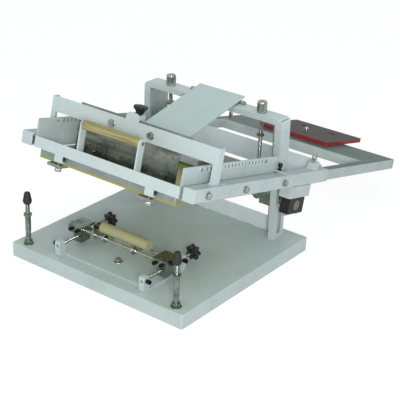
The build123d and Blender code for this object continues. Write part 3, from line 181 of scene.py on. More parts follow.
def thread(radius: float, low: float, high: float, pitch: float, depth: float = 0.00055) -> Skin:
    """A screw thread: the radius falls by depth in a V once for each pitch.

    Args:
        radius: outer radius of the thread.
        low: height at which it starts.
        high: height at which it ends.
        pitch: rise of one turn.
        depth: depth of the V.

    Returns:
        The skin of the threaded rod.
    """
    rows = int((high - low) / pitch * 5) + 1
    height = np.linspace(low, high, rows)[:, None]
    around = angles(20)
    phase = (height / pitch - around / TURN) % 1.0
    return Skin(turned(radius - depth * np.abs(2.0 * phase - 1.0), height, around))


def lobed(
    profile: Sequence[tuple[float, float]], lobes: int, depth: float, columns: int = 168, sharp: float = 1.0
) -> Skin:
    """A turned profile whose radius dips between its lobes.

    The dip is depth times (half of one minus the cosine of lobes times the
    angle) to the power sharp, times the radius.

    Args:
        profile: pairs of radius and height.
        lobes: how many lobes go round.
        depth: depth of a dip, as a share of the radius.
        columns: points round the turn.
        sharp: power that narrows the dips.

    Returns:
        The lobed skin.
    """
    pairs = np.array(profile)
    around = angles(columns)
    dip = (0.5 - 0.5 * np.cos(lobes * around)) ** sharp
    return Skin(turned(pairs[:, :1] * (1.0 - depth * dip), pairs[:, 1:], around))


def hexagon(flats: float, low: float, high: float, chamfer: float = 0.0009) -> Skin:
    """A hexagon head or nut, its corners cut by a cone at both ends.

    The wall's radius is half the flats over the cosine of the angle from the
    middle of the nearest flat, and it is never more than the cone's.

    Args:
        flats: width across the flats.
        low: height of its lower end.
        high: height of its upper end.
        chamfer: height of the cone's cut at each end.

    Returns:
        The skin of the head or nut.
    """
    around = angles(72)
    half = flats / 2.0
    wall = half / np.cos((around % (TURN / 6)) - TURN / 12)
    height = np.array([low, low + chamfer, high - chamfer, high])[:, None]
    end, past_corners = half * 0.985, half * 1.16
    cone = np.array([end, past_corners, past_corners, end])[:, None]
    return Skin(turned(np.minimum(wall, cone), height, around))


def capsule_box(size: Sequence[float], power: float = 6.0, columns: int = 32, rows: int = 17) -> Skin:
    """A box with swollen sides: a superellipsoid.

    With a as the angle round z and e as the angle of rise, x, y and z are cos e
    cos a, cos e sin a and sin e times half the size. Each sine and cosine is
    first raised to two over the power, with its sign kept.

    Args:
        size: full size along x, y and z.
        power: 2 gives an ellipsoid, and more gives flatter sides.
        columns: points round z.
        rows: points from pole to pole.

    Returns:
        The skin of the box.
    """
    around = angles(columns)
    rise = np.linspace(-0.5 * math.pi, 0.5 * math.pi, rows)[:, None]

    def bent(value: np.ndarray) -> np.ndarray:
        """The value raised to two over the power, with its sign kept."""
        return np.sign(value) * np.abs(value) ** (2.0 / power)

    x, y, z = np.broadcast_arrays(
        bent(np.cos(rise)) * bent(np.cos(around)),
        bent(np.cos(rise)) * bent(np.sin(around)),
        bent(np.sin(rise)),
    )
    return Skin(np.stack([x, y, z], axis=-1) * np.asarray(size) / 2.0)


def make_piece(name: str, parts: Sequence[tuple[Skin, Place]], smooth: float = 35.0) -> bpy.types.Object:
    """One object out of several skins, each at its own place.

    Args:
        name: the object's name.
        parts: pairs of a skin and its place.
        smooth: angle in degrees up to which edges are shaded smooth.

    Returns:
        The new object, at the origin, with its place in its mesh.
    """
    points: list[np.ndarray] = []
    polygons: list[list[int]] = []
    start = 0
    for skin, place in parts:
        carried = place.carry(skin.points).reshape(-1, 3)
        points.append(carried)
        polygons.extend(skin.faces(start))
        start += len(carried)
    mesh = bpy.data.meshes.new(name)
    mesh.from_pydata(np.concatenate(points).tolist(), [], polygons)
    mesh.validate()
    mesh.shade_smooth()
    mesh.set_sharp_from_angle(angle=math.radians(smooth))
    piece = bpy.data.objects.new(name, mesh)
    bpy.context.scene.collection.objects.link(piece)
    return piece


# ---------------------------------------------------------------------------
# Shader groups
# ---------------------------------------------------------------------------
class Wiring:
    """Adds nodes to a tree and links them."""

    def __init__(self, tree: bpy.types.NodeTree) -> None:
        """Keep the tree that the nodes go into."""
        self.tree = tree

    def add(self, kind: str, **values: object) -> bpy.types.Node:
        """A new node in the tree.

        Args:
            kind: the node's type.
            values: what its properties and its inputs are set to, by name.

        Returns:
            The node.
        """
        node = self.tree.nodes.new(kind)
        for key, value in values.items():
            name = key.replace("_", " ")
            if name in node.inputs:
                node.inputs[name].default_value = value
            else:
                setattr(node, key, value)
        return node

    def link(self, source: bpy.types.NodeSocket, target: bpy.types.NodeSocket) -> None:
        """Join an output to an input."""
        self.tree.links.new(source, target)

    def ramp(self, source: bpy.types.NodeSocket, low: float, high: float) -> bpy.types.NodeSocket:
        """The source stretched so that low gives 0 and high gives 1, without going past either.

        Args:
            source: the value to stretch.
            low: what becomes 0.
            high: what becomes 1.

        Returns:
            The stretched value.
        """
        node = self.add("ShaderNodeMapRange")
        node.inputs["From Min"].default_value = low
        node.inputs["From Max"].default_value = high
        self.link(source, node.inputs["Value"])
        return node.outputs["Result"]

    def math(self, operation: str, first: object, second: object = 0.0) -> bpy.types.NodeSocket:
        """A math node on two values or sockets.

        Args:
            operation: what the node does.
            first: its first value or socket.
            second: its second value or socket.

        Returns:
            The node's output.
        """
        node = self.add("ShaderNodeMath", operation=operation)
        for number, value in enumerate((first, second)):
            if isinstance(value, bpy.types.NodeSocket):
                self.link(value, node.inputs[number])
            else:
                node.inputs[number].default_value = value
        return node.outputs[0]

    def mix(self, factor: object, first: object, second: object) -> bpy.types.NodeSocket:
        """A colour between two colours or sockets.

        Args:
            factor: value or socket that goes from the first colour at 0 to the second at 1.
            first: the first colour or socket.
            second: the second colour or socket.

        Returns:
            The mixed colour.
        """
        node = self.add("ShaderNodeMix", data_type="RGBA")
        for name, value in ((0, factor), (6, first), (7, second)):
            if isinstance(value, bpy.types.NodeSocket):
                self.link(value, node.inputs[name])
            else:
                node.inputs[name].default_value = value
        return node.outputs[2]


def new_group(
    name: str, inputs: Sequence[tuple[str, float]], outputs: Sequence[str]
) -> tuple[Wiring, dict[str, bpy.types.NodeSocket], dict[str, bpy.types.NodeSocket]]:
    """An empty shader group with float sockets.

    Args:
        name: the group's name.
        inputs: its inputs, each with its value.
        outputs: its outputs.

    Returns:
        Its wiring, its input sockets by name, and its output sockets by name.
    """
    tree = bpy.data.node_groups.new(name, "ShaderNodeTree")
    for label, value in inputs:
        socket = tree.interface.new_socket(name=label, in_out="INPUT", socket_type="NodeSocketFloat")
        socket.default_value = value
    for label in outputs:
        tree.interface.new_socket(name=label, in_out="OUTPUT", socket_type="NodeSocketFloat")
    wiring = Wiring(tree)
    entry = wiring.add("NodeGroupInput")
    leave = wiring.add("NodeGroupOutput")
    return wiring, {s.name: s for s in entry.outputs}, {s.name: s for s in leave.inputs}


class Effect(Enum):
    """The shader groups that several finishes share."""

    BLOTCHES = "blotches"
    STREAKS = "streaks"
    PEEL = "orange_peel"

    def tree(self) -> bpy.types.NodeTree:
        """The group's tree, built the first time that it is asked for.

        Returns:
            The shader group.
        """
        known = bpy.data.node_groups.get(self.value)
        if known:
            return known
        makers = {Effect.BLOTCHES: build_blotches, Effect.STREAKS: build_streaks, Effect.PEEL: build_peel}
        makers[self]()
        return bpy.data.node_groups[self.value]


def build_blotches() -> None:
    """Uneven patches: coarse noise broken by a finer one, stretched between two levels."""
    inputs = (("Scale", 30.0), ("Low", 0.45), ("High", 0.7))
    wiring, given, leaves = new_group(Effect.BLOTCHES.value, inputs, ("Mask",))
    place = wiring.add("ShaderNodeTexCoord")
    coarse = wiring.add("ShaderNodeTexNoise", Detail=6.0, Roughness=0.62)
    wiring.link(place.outputs["Object"], coarse.inputs["Vector"])
    wiring.link(given["Scale"], coarse.inputs["Scale"])
    fine = wiring.add("ShaderNodeTexNoise", Detail=3.0, Roughness=0.7)
    wiring.link(place.outputs["Object"], fine.inputs["Vector"])
    wiring.link(wiring.math("MULTIPLY", given["Scale"], 7.3), fine.inputs["Scale"])
    most = wiring.math("MULTIPLY", coarse.outputs["Fac"], 0.74)
    rest = wiring.math("MULTIPLY", fine.outputs["Fac"], 0.26)
    both = wiring.math("ADD", most, rest)
    stretch = wiring.add("ShaderNodeMapRange")
    wiring.link(both, stretch.inputs["Value"])
    wiring.link(given["Low"], stretch.inputs["From Min"])
    wiring.link(given["High"], stretch.inputs["From Max"])
    wiring.link(stretch.outputs["Result"], leaves["Mask"])


def build_streaks() -> None:
    """Drawn or turned lines: noise whose places are scaled far more across x than along it."""
    wiring, given, leaves = new_group(Effect.STREAKS.value, (("Along", 8.0), ("Across", 700.0)), ("Lines",))
    place = wiring.add("ShaderNodeTexCoord")
    size = wiring.add("ShaderNodeCombineXYZ")
    wiring.link(given["Along"], size.inputs["X"])
    wiring.link(given["Across"], size.inputs["Y"])
    wiring.link(given["Across"], size.inputs["Z"])
    pressed = wiring.add("ShaderNodeVectorMath", operation="MULTIPLY")
    wiring.link(place.outputs["Object"], pressed.inputs[0])
    wiring.link(size.outputs["Vector"], pressed.inputs[1])
    lines = wiring.add("ShaderNodeTexNoise", Scale=1.0, Detail=4.0, Roughness=0.65)
    wiring.link(pressed.outputs["Vector"], lines.inputs["Vector"])
    wiring.link(lines.outputs["Fac"], leaves["Lines"])


def build_peel() -> None:
    """The fine dimples of sprayed powder, with a slower swell under them."""
    wiring, given, leaves = new_group(Effect.PEEL.value, (("Scale", 700.0),), ("Height",))
    place = wiring.add("ShaderNodeTexCoord")
    dimples = wiring.add("ShaderNodeTexNoise", Detail=2.0, Roughness=0.45)
    wiring.link(place.outputs["Object"], dimples.inputs["Vector"])
    wiring.link(given["Scale"], dimples.inputs["Scale"])
    swell = wiring.add("ShaderNodeTexNoise", Detail=1.0, Roughness=0.4)
    wiring.link(place.outputs["Object"], swell.inputs["Vector"])
    wiring.link(wiring.math("MULTIPLY", given["Scale"], 0.12), swell.inputs["Scale"])
    most = wiring.math("MULTIPLY", dimples.outputs["Fac"], 0.7)
    rest = wiring.math("MULTIPLY", swell.outputs["Fac"], 0.3)
    wiring.link(wiring.math("ADD", most, rest), leaves["Height"])


# ---------------------------------------------------------------------------
# Finishes
# ---------------------------------------------------------------------------
Colour = tuple[float, float, float, float]


def from_screen(red: int, green: int, blue: int) -> Colour:
    """A colour given as it looks on a screen, made linear.

    Args:
        red: red from 0 to 255.
        green: green from 0 to 255.
        blue: blue from 0 to 255.

    Returns:
        The linear colour, with an alpha of 1.
    """

    def linear(value: int) -> float:
        """One channel, by the sRGB curve."""
        part = value / 255.0
        return part / 12.92 if part <= 0.04045 else ((part + 0.055) / 1.055) ** 2.4

    return (linear(red), linear(green), linear(blue), 1.0)


@dataclass(frozen=True)
class Finish:
    """A surface finish.

    Attributes:
        name: the material's name.
        colour: its main colour.
        second: the colour of its blotches, stains or lines; the red gloss uses it for the painted shade on
            its top faces.
        roughness: roughness where it is clean.
        dulled: roughness where it is blotched.
    """

    name: str
    colour: Colour
    second: Colour
    roughness: float = 0.45
    dulled: float = 0.6

    def material(self) -> bpy.types.Material:
        """The material, built the first time that it is asked for.

        Returns:
            The material, with its principled shader dressed.
        """
        known = bpy.data.materials.get(self.name)
        if known:
            return known
        made = bpy.data.materials.new(self.name)
        made.use_nodes = True
        made.node_tree.nodes.clear()
        wiring = Wiring(made.node_tree)
        shader = wiring.add("ShaderNodeBsdfPrincipled")
        output = wiring.add("ShaderNodeOutputMaterial")
        wiring.link(shader.outputs["BSDF"], output.inputs["Surface"])
        made.diffuse_color = self.colour
        self.dress(wiring, shader)
        return made

    def dress(self, wiring: Wiring, shader: bpy.types.Node) -> None:
        """Wire this finish's own nodes into the shader."""
        raise NotImplementedError

    def group(self, wiring: Wiring, effect: Effect, **values: float) -> bpy.types.NodeSocket:
        """A shared group, placed in this material.

        Args:
            wiring: the material's wiring.
            effect: which group.
            values: what its inputs are set to, by name.

        Returns:
            The group's only output.
        """
        node = wiring.add("ShaderNodeGroup", node_tree=effect.tree())
        for key, value in values.items():
            node.inputs[key].default_value = value
        return node.outputs[0]

    def bump(
        self, wiring: Wiring, shader: bpy.types.Node, height: bpy.types.NodeSocket, depth: float
    ) -> None:
        """Let a height roughen the shader's normal.

        Args:
            wiring: the material's wiring.
            shader: its principled shader.
            height: the height, from 0 to 1.
            depth: how deep that is, in metres.
        """
        node = wiring.add("ShaderNodeBump", Strength=1.0, Distance=depth)
        wiring.link(height, node.inputs["Height"])
        wiring.link(node.outputs["Normal"], shader.inputs["Normal"])

    def rough(self, wiring: Wiring, shader: bpy.types.Node, mask: bpy.types.NodeSocket) -> None:
        """Let a mask move the roughness from clean to dulled.

        Args:
            wiring: the material's wiring.
            shader: its principled shader.
            mask: 0 where the surface is clean, and 1 where it is dulled.
        """
        span = wiring.add("ShaderNodeMapRange")
        span.inputs["To Min"].default_value = self.roughness
        span.inputs["To Max"].default_value = self.dulled
        wiring.link(mask, span.inputs["Value"])
        wiring.link(span.outputs["Result"], shader.inputs["Roughness"])


@dataclass(frozen=True)
class PowderCoat(Finish):
    """Sprayed and baked paint with fine dimples and hand marks, and a painted shade on the faces that point
    up.

    Attributes:
        soil: strength of the marks.
        sheen: strength of the gloss over the colour.
        top_shade_share: how much of the painted shade the faces that point up take.
        shade: colour of that painted shade.
    """

    soil: float = 0.35
    sheen: float = 0.45
    top_shade_share: float = 0.0
    shade: Colour = from_screen(84, 108, 100)

    def dress(self, wiring: Wiring, shader: bpy.types.Node) -> None:
        """Blotch the colour a little, paint shade on the faces that point up, roughen the marks and dimple
        the coat.

        Args:
            wiring: the material's wiring.
            shader: its principled shader.
        """
        marks = self.group(wiring, Effect.BLOTCHES, Scale=14.0, Low=0.46, High=0.74)
        specks = self.group(wiring, Effect.BLOTCHES, Scale=120.0, Low=0.6, High=0.72)
        soiled = wiring.mix(wiring.math("MULTIPLY", marks, self.soil), self.colour, self.second)
        dotted = wiring.mix(wiring.math("MULTIPLY", specks, 0.12), soiled, self.second)
        place = wiring.add("ShaderNodeTexCoord")
        split = wiring.add("ShaderNodeSeparateXYZ")
        wiring.link(place.outputs["Normal"], split.inputs["Vector"])
        # Painted shade: faces whose normal points up take the shade colour, by the share given.
        level = wiring.ramp(split.outputs["Z"], 0.86, 0.95)
        top_shaded = wiring.mix(wiring.math("MULTIPLY", level, self.top_shade_share), dotted, self.shade)
        wiring.link(top_shaded, shader.inputs["Base Color"])
        self.rough(wiring, shader, marks)
        shader.inputs["Coat Weight"].default_value = self.sheen * 0.35
        shader.inputs["Coat Roughness"].default_value = 0.3
        self.bump(wiring, shader, self.group(wiring, Effect.PEEL, Scale=650.0), 0.00007)


@dataclass(frozen=True)
class Metal(Finish):
    """Plated, drawn or ground metal with lines along x and tarnished patches.

    Attributes:
        along: scale of the lines along x.
        across: scale of the lines across it.
        tarnish: strength of the patches.
        patches: scale of the patches.
        depth: depth of the lines, in metres.
    """

    along: float = 10.0
    across: float = 900.0
    tarnish: float = 0.5
    patches: float = 40.0
    depth: float = 0.00004

    def dress(self, wiring: Wiring, shader: bpy.types.Node) -> None:
        """Tarnish the colour in patches and draw fine lines into it.

        Args:
            wiring: the material's wiring.
            shader: its principled shader.
        """
        shader.inputs["Metallic"].default_value = 1.0
        patches = self.group(wiring, Effect.BLOTCHES, Scale=self.patches, Low=0.42, High=0.66)
        lines = self.group(wiring, Effect.STREAKS, Along=self.along, Across=self.across)
        base = wiring.mix(wiring.math("MULTIPLY", patches, self.tarnish), self.colour, self.second)
        lined = wiring.mix(wiring.ramp(lines, 0.35, 0.75), base, self.second)
        soft = wiring.mix(0.22, base, lined)
        wiring.link(soft, shader.inputs["Base Color"])
        self.rough(wiring, shader, patches)
        self.bump(wiring, shader, lines, self.depth)


@dataclass(frozen=True)
class TapedAlloy(Metal):
    """A drawn tube with the coating tape that laps up from the cloth."""

    tape: Colour = from_screen(150, 148, 74)
    tape_top: float = 0.0310

    def dress(self, wiring: Wiring, shader: bpy.types.Node) -> None:
        """Tape the lowest part of the bars, measured square to the arms.

        Args:
            wiring: the material's wiring.
            shader: its principled shader.
        """
        super().dress(wiring, shader)
        metal = shader.inputs["Base Color"].links[0].from_socket
        place = wiring.add("ShaderNodeTexCoord")
        rise = wiring.add("ShaderNodeVectorMath", operation="DOT_PRODUCT")
        wiring.link(place.outputs["Object"], rise.inputs[0])
        rise.inputs[1].default_value = HEAD.z
        edge = self.tape_top + float(np.dot(HEAD.z, HEAD.origin))
        bare = wiring.ramp(rise.outputs["Value"], edge - 0.0004, edge + 0.0004)
        wiring.link(wiring.mix(bare, self.tape, metal), shader.inputs["Base Color"])
        wiring.link(bare, shader.inputs["Metallic"])


@dataclass(frozen=True)
class Moulded(Finish):
    """Moulded plastic or rubber with a fine grain and dusty patches."""

    grain: float = 900.0
    depth: float = 0.00008

    def dress(self, wiring: Wiring, shader: bpy.types.Node) -> None:
        """Dust the colour and give it the mould's grain.

        Args:
            wiring: the material's wiring.
            shader: its principled shader.
        """
        dust = self.group(wiring, Effect.BLOTCHES, Scale=60.0, Low=0.48, High=0.72)
        dusted = wiring.mix(wiring.math("MULTIPLY", dust, 0.5), self.colour, self.second)
        wiring.link(dusted, shader.inputs["Base Color"])
        self.rough(wiring, shader, dust)
        self.bump(wiring, shader, self.group(wiring, Effect.PEEL, Scale=self.grain), self.depth)


@dataclass(frozen=True)
class Timber(Finish):
    """Turned wood: stretched grain lines, pores and handled patches."""

    def dress(self, wiring: Wiring, shader: bpy.types.Node) -> None:
        """Draw the grain along x and darken it where hands hold it.

        Args:
            wiring: the material's wiring.
            shader: its principled shader.
        """
        grain = self.group(wiring, Effect.STREAKS, Along=9.0, Across=330.0)
        pores = self.group(wiring, Effect.STREAKS, Along=45.0, Across=1500.0)
        held = self.group(wiring, Effect.BLOTCHES, Scale=22.0, Low=0.42, High=0.68)
        drawn = wiring.mix(wiring.ramp(grain, 0.38, 0.64), self.colour, self.second)
        pored = wiring.mix(wiring.math("MULTIPLY", wiring.ramp(pores, 0.58, 0.7), 0.5), drawn, self.second)
        darkened = wiring.mix(wiring.math("MULTIPLY", held, 0.35), pored, self.second)
        wiring.link(darkened, shader.inputs["Base Color"])
        self.rough(wiring, shader, held)
        shader.inputs["Coat Weight"].default_value = 0.15
        self.bump(wiring, shader, grain, 0.00025)


@dataclass(frozen=True)
class InkStained(Finish):
    """A stainless sheet with dried ink: cloudy stains, runs and wiped bands."""

    ink: Colour = (0.05, 0.05, 0.04, 1.0)

    def dress(self, wiring: Wiring, shader: bpy.types.Node) -> None:
        """Lay wiped bands over the metal and cloudy ink over both.

        Args:
            wiring: the material's wiring.
            shader: its principled shader.
        """
        bands = self.group(wiring, Effect.STREAKS, Along=6.0, Across=55.0)
        cloud = self.group(wiring, Effect.BLOTCHES, Scale=24.0, Low=0.44, High=0.62)
        spots = self.group(wiring, Effect.BLOTCHES, Scale=90.0, Low=0.56, High=0.66)
        wiped = wiring.mix(wiring.ramp(bands, 0.35, 0.65), self.colour, self.second)
        inked = wiring.mix(wiring.math("MULTIPLY", cloud, 0.62), wiped, self.ink)
        spotted = wiring.mix(wiring.math("MULTIPLY", spots, 0.5), inked, self.ink)
        wiring.link(spotted, shader.inputs["Base Color"])
        metal = wiring.math("SUBTRACT", 1.0, wiring.math("MULTIPLY", cloud, 0.6))
        wiring.link(metal, shader.inputs["Metallic"])
        self.rough(wiring, shader, cloud)
        self.bump(wiring, shader, bands, 0.00005)


@dataclass(frozen=True)
class Woven(Finish):
    """Stretched screen cloth: crossed threads, with the coating on its border.

    Attributes:
        coating: colour of the dried coating.
        pitch: distance over which the weave repeats.
        half_width: half the width of the open field.
        front: where the field starts, from the middle of the cloth.
        rear: where it ends.
        blend: how far the coating's edge fades.
    """

    coating: Colour = (0.35, 0.38, 0.12, 1.0)
    pitch: float = 0.0012
    half_width: float = 0.155
    front: float = -0.075
    rear: float = 0.10
    blend: float = 0.004

    def dress(self, wiring: Wiring, shader: bpy.types.Node) -> None:
        """Weave the product of two sine waves, and coat the cloth outside the open field.

        Args:
            wiring: the material's wiring.
            shader: its principled shader.
        """
        uv = wiring.add("ShaderNodeUVMap", uv_map="cloth")
        split = wiring.add("ShaderNodeSeparateXYZ")
        wiring.link(uv.outputs["UV"], split.inputs["Vector"])
        warp = wiring.math("SINE", wiring.math("MULTIPLY", split.outputs["X"], TURN / self.pitch))
        weft = wiring.math("SINE", wiring.math("MULTIPLY", split.outputs["Y"], TURN / self.pitch))
        weave = wiring.math("MULTIPLY", warp, weft)
        side = wiring.math("ABSOLUTE", split.outputs["X"])
        outside = wiring.ramp(side, self.half_width, self.half_width + self.blend)
        behind = wiring.ramp(split.outputs["Y"], self.rear, self.rear + self.blend)
        forward = wiring.math("MULTIPLY", split.outputs["Y"], -1.0)
        ahead = wiring.ramp(forward, -self.front, -self.front + self.blend)
        border = wiring.math("MAXIMUM", outside, wiring.math("MAXIMUM", behind, ahead))
        stain = self.group(wiring, Effect.BLOTCHES, Scale=30.0, Low=0.45, High=0.7)
        cloth = wiring.mix(wiring.ramp(weave, -1.0, 1.0), self.colour, self.second)
        coated = wiring.mix(wiring.math("MULTIPLY", stain, 0.4), self.coating, self.second)
        wiring.link(wiring.mix(border, cloth, coated), shader.inputs["Base Color"])
        self.rough(wiring, shader, stain)
        self.bump(wiring, shader, weave, 0.00012)


@dataclass(frozen=True)
class TopShadedGloss(Finish):
    """Gloss paint with a dark brown painted shade that lies on faces that point up only."""

    top_shade_depth: float = 1.0

    def dress(self, wiring: Wiring, shader: bpy.types.Node) -> None:
        """Lay the painted shade where the face points up and leave the edges bright.

        Args:
            wiring: the material's wiring.
            shader: its principled shader.
        """
        facing = wiring.add("ShaderNodeNewGeometry")
        split = wiring.add("ShaderNodeSeparateXYZ")
        wiring.link(facing.outputs["Normal"], split.inputs["Vector"])
        # Painted shade: faces that point up take the dark brown second colour, a little thinner in blotches.
        up = wiring.ramp(split.outputs["Z"], 0.7, 0.9)
        cloud = self.group(wiring, Effect.BLOTCHES, Scale=18.0, Low=0.35, High=0.75)
        thinned = wiring.math("SUBTRACT", self.top_shade_depth, wiring.math("MULTIPLY", cloud, 0.08))
        amount = wiring.math("MULTIPLY", up, thinned)
        wiring.link(wiring.mix(amount, self.colour, self.second), shader.inputs["Base Color"])
        self.rough(wiring, shader, cloud)
        shader.inputs["Coat Weight"].default_value = 0.12
        shader.inputs["Coat Roughness"].default_value = 0.3
        self.bump(wiring, shader, self.group(wiring, Effect.PEEL, Scale=400.0), 0.00006)


# Painted light: a lighter copy of the pale paint that brightens the rear crossbar and the cross member.
PAINTED_LIGHT_COAT = PowderCoat("painted_light_coat", from_screen(212, 221, 223), from_screen(168, 176, 176), 0.38, 0.55)
# Faces that point up take three tenths of the default painted shade.
PAINT = PowderCoat(
    "pale_paint", from_screen(184, 197, 196), from_screen(140, 150, 146),
    0.38, 0.55, top_shade_share=0.3,
)
PANEL_PAINT = PowderCoat(
    "bar_paint", from_screen(190, 204, 202), from_screen(150, 162, 158),
    0.34, 0.5, soil=0.2,
)
SHELF_PAINT = PowderCoat(
    "shelf_paint", from_screen(178, 198, 194), from_screen(150, 166, 160),
    0.32, 0.46, soil=0.25,
)
BASE_PAINT = PowderCoat(
    "base_paint", from_screen(180, 195, 192), from_screen(138, 150, 146),
    0.36, 0.52, soil=0.3,
)
# The tail's faces that point up take the full dark green painted shade.
TAIL_PAINT = PowderCoat(
    "tail_paint", from_screen(176, 188, 185), from_screen(126, 136, 128),
    0.4, 0.55, soil=0.5, top_shade_share=1.0, shade=from_screen(66, 92, 85),
)
ZINC = Metal(
    "zinc_plate", from_screen(196, 200, 192), from_screen(96, 100, 90),
    0.2, 0.38, tarnish=0.6, patches=70.0,
)
DARK_ZINC = Metal(
    "worn_zinc", from_screen(158, 168, 156), from_screen(66, 72, 60),
    0.22, 0.42, tarnish=0.7, patches=75.0,
)
GROUND = Metal(
    "ground_steel", from_screen(206, 206, 196), from_screen(120, 120, 106),
    0.16, 0.34, tarnish=0.35,
)
BRASSY = Metal("pin_steel", from_screen(152, 144, 122), from_screen(96, 88, 66), 0.3, 0.5, tarnish=0.4)
ALLOY = Metal(
    "frame_alloy", from_screen(176, 184, 180), from_screen(110, 116, 108),
    0.36, 0.55, tarnish=0.5, patches=26.0,
)
TAPED = TapedAlloy(
    "taped_alloy", from_screen(176, 186, 180), from_screen(112, 120, 110),
    0.36, 0.55, patches=26.0,
)
STAINED = InkStained("stained_sheet", from_screen(178, 184, 172), from_screen(96, 102, 90), 0.26, 0.46)
BLACK = Moulded("black_knob", from_screen(26, 27, 29), from_screen(48, 48, 49), 0.32, 0.5)
OXIDE = Metal("black_screw", from_screen(52, 52, 54), from_screen(26, 26, 27), 0.4, 0.55, tarnish=0.4)
CAST = Moulded(
    "black_casting", from_screen(13, 13, 14), from_screen(28, 28, 27),
    0.42, 0.6, grain=500.0, depth=0.0003,
)
CAP = Moulded("black_rubber", from_screen(30, 32, 30), from_screen(50, 52, 48), 0.55, 0.7)
BLADE = Moulded("squeegee_blade", from_screen(112, 92, 60), from_screen(70, 60, 44), 0.5, 0.65, grain=300.0)
WOOD = Timber("handle_wood", from_screen(170, 162, 110), from_screen(122, 112, 68), 0.42, 0.55)
SLOT_SHADE = Moulded("slot_shade", from_screen(62, 70, 72), from_screen(40, 44, 46), 0.6, 0.75)
# The red gloss's dark brown second colour is a painted shade on its top faces.
RED = TopShadedGloss("red_gloss", from_screen(138, 30, 30), from_screen(44, 34, 29), 0.5, 0.62)
CLOTH = Woven("screen_cloth", from_screen(214, 206, 150), from_screen(168, 158, 98), 0.5, 0.65)
ROLL = Moulded(
    "beige_roll", from_screen(162, 160, 120), from_screen(130, 126, 90),
    0.42, 0.58, grain=350.0, depth=0.0001,
)


def dress_node(node: bpy.types.Object, finish: Finish) -> None:
    """Give a CAD node its finish, in every material slot that it has.

    Args:
        node: the node's object.
        finish: its finish.
    """
    made = finish.material()
    if not node.material_slots:
        node.data.materials.append(made)
    for place in node.material_slots:
        place.material = made


def finish_piece(piece: bpy.types.Object, finish: Finish, body: str, slot: str, *nodes: str) -> None:
    """Finish a new piece, let it ride on its body and stand for its nodes.

    Args:
        piece: the new object.
        finish: its finish.
        body: the rigid body that it moves with.
        slot: a material slot's name; not used.
        nodes: the CAD nodes that it stands for.
    """
    piece.data.materials.append(finish.material())
    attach(piece, body)
    if nodes:
        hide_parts(*nodes)
    LOG.info("%s rides on %s and stands for %s", piece.name, body, ", ".join(nodes) or "nothing")


SIDES: tuple[tuple[int, str], ...] = ((-1, "left"), (1, "right"))
Profile = tuple[tuple[float, float], ...]


# ---------------------------------------------------------------------------
# Sub-assemblies
# ---------------------------------------------------------------------------
@dataclass
class Carried:
    """The CAD nodes whose shape stays, with the finish that each one gets."""

    finishes: dict[str, Finish] = field(
        default_factory=lambda: {
            "base_tray": BASE_PAINT,
            "base_bottom_plate": BASE_PAINT,
            "rear_crossbar": PAINTED_LIGHT_COAT,
            "column_left": PAINT,
            "column_right": PAINT,
            "portal_beam": PANEL_PAINT,
            "sloped_panel": SHELF_PAINT,
            "panel_fasteners": ZINC,
            "post_sleeves": DARK_ZINC,
            "jig_plate": BASE_PAINT,
            "lift_blocks": ZINC,
            "pivot_pins": BRASSY,
            "jig_blocks": DARK_ZINC,
            "jig_cross_bars": GROUND,
            "jig_block_screws": OXIDE,
            "end_stop": BLACK,
            "roller_front_left": GROUND,
            "roller_front_right": GROUND,
            "roller_back_left": GROUND,
            "roller_back_right": GROUND,
            "work_cylinder": ROLL,
            "arm_left": PAINT,
            "arm_right": PAINT,
            "pivot_bearings": CAST,
            "cross_member": PAINTED_LIGHT_COAT,
            "outer_rails": ZINC,
            "strap_screws": OXIDE,
            "bridge_bar": PANEL_PAINT,
            "squeegee_plate": STAINED,
            "squeegee_holder": ALLOY,
            "squeegee_rubber": BLADE,
            "squeegee_screws": ZINC,
            "tail_frame": TAIL_PAINT,
            "counterweight_plate": RED,
            "counterweight_bolt": GROUND,
            "side_plates": PAINT,
            "index_strips": PANEL_PAINT,
            "carriage_screws": ZINC,
            "front_bar": PANEL_PAINT,
            "rear_bar": PAINT,
            "inner_rails": ZINC,
            "handle_bar": WOOD,
            "screen_frame": TAPED,
            "screen_clamps": ALLOY,
        }
    )

    def build(self, nodes: dict[str, bpy.types.Object]) -> None:
        """Dress every listed node.

        Args:
            nodes: the CAD nodes' objects by name.
        """
        for name, finish in self.finishes.items():
            dress_node(nodes[name], finish)
            LOG.info("%s keeps its shape, in %s", name, finish.name)


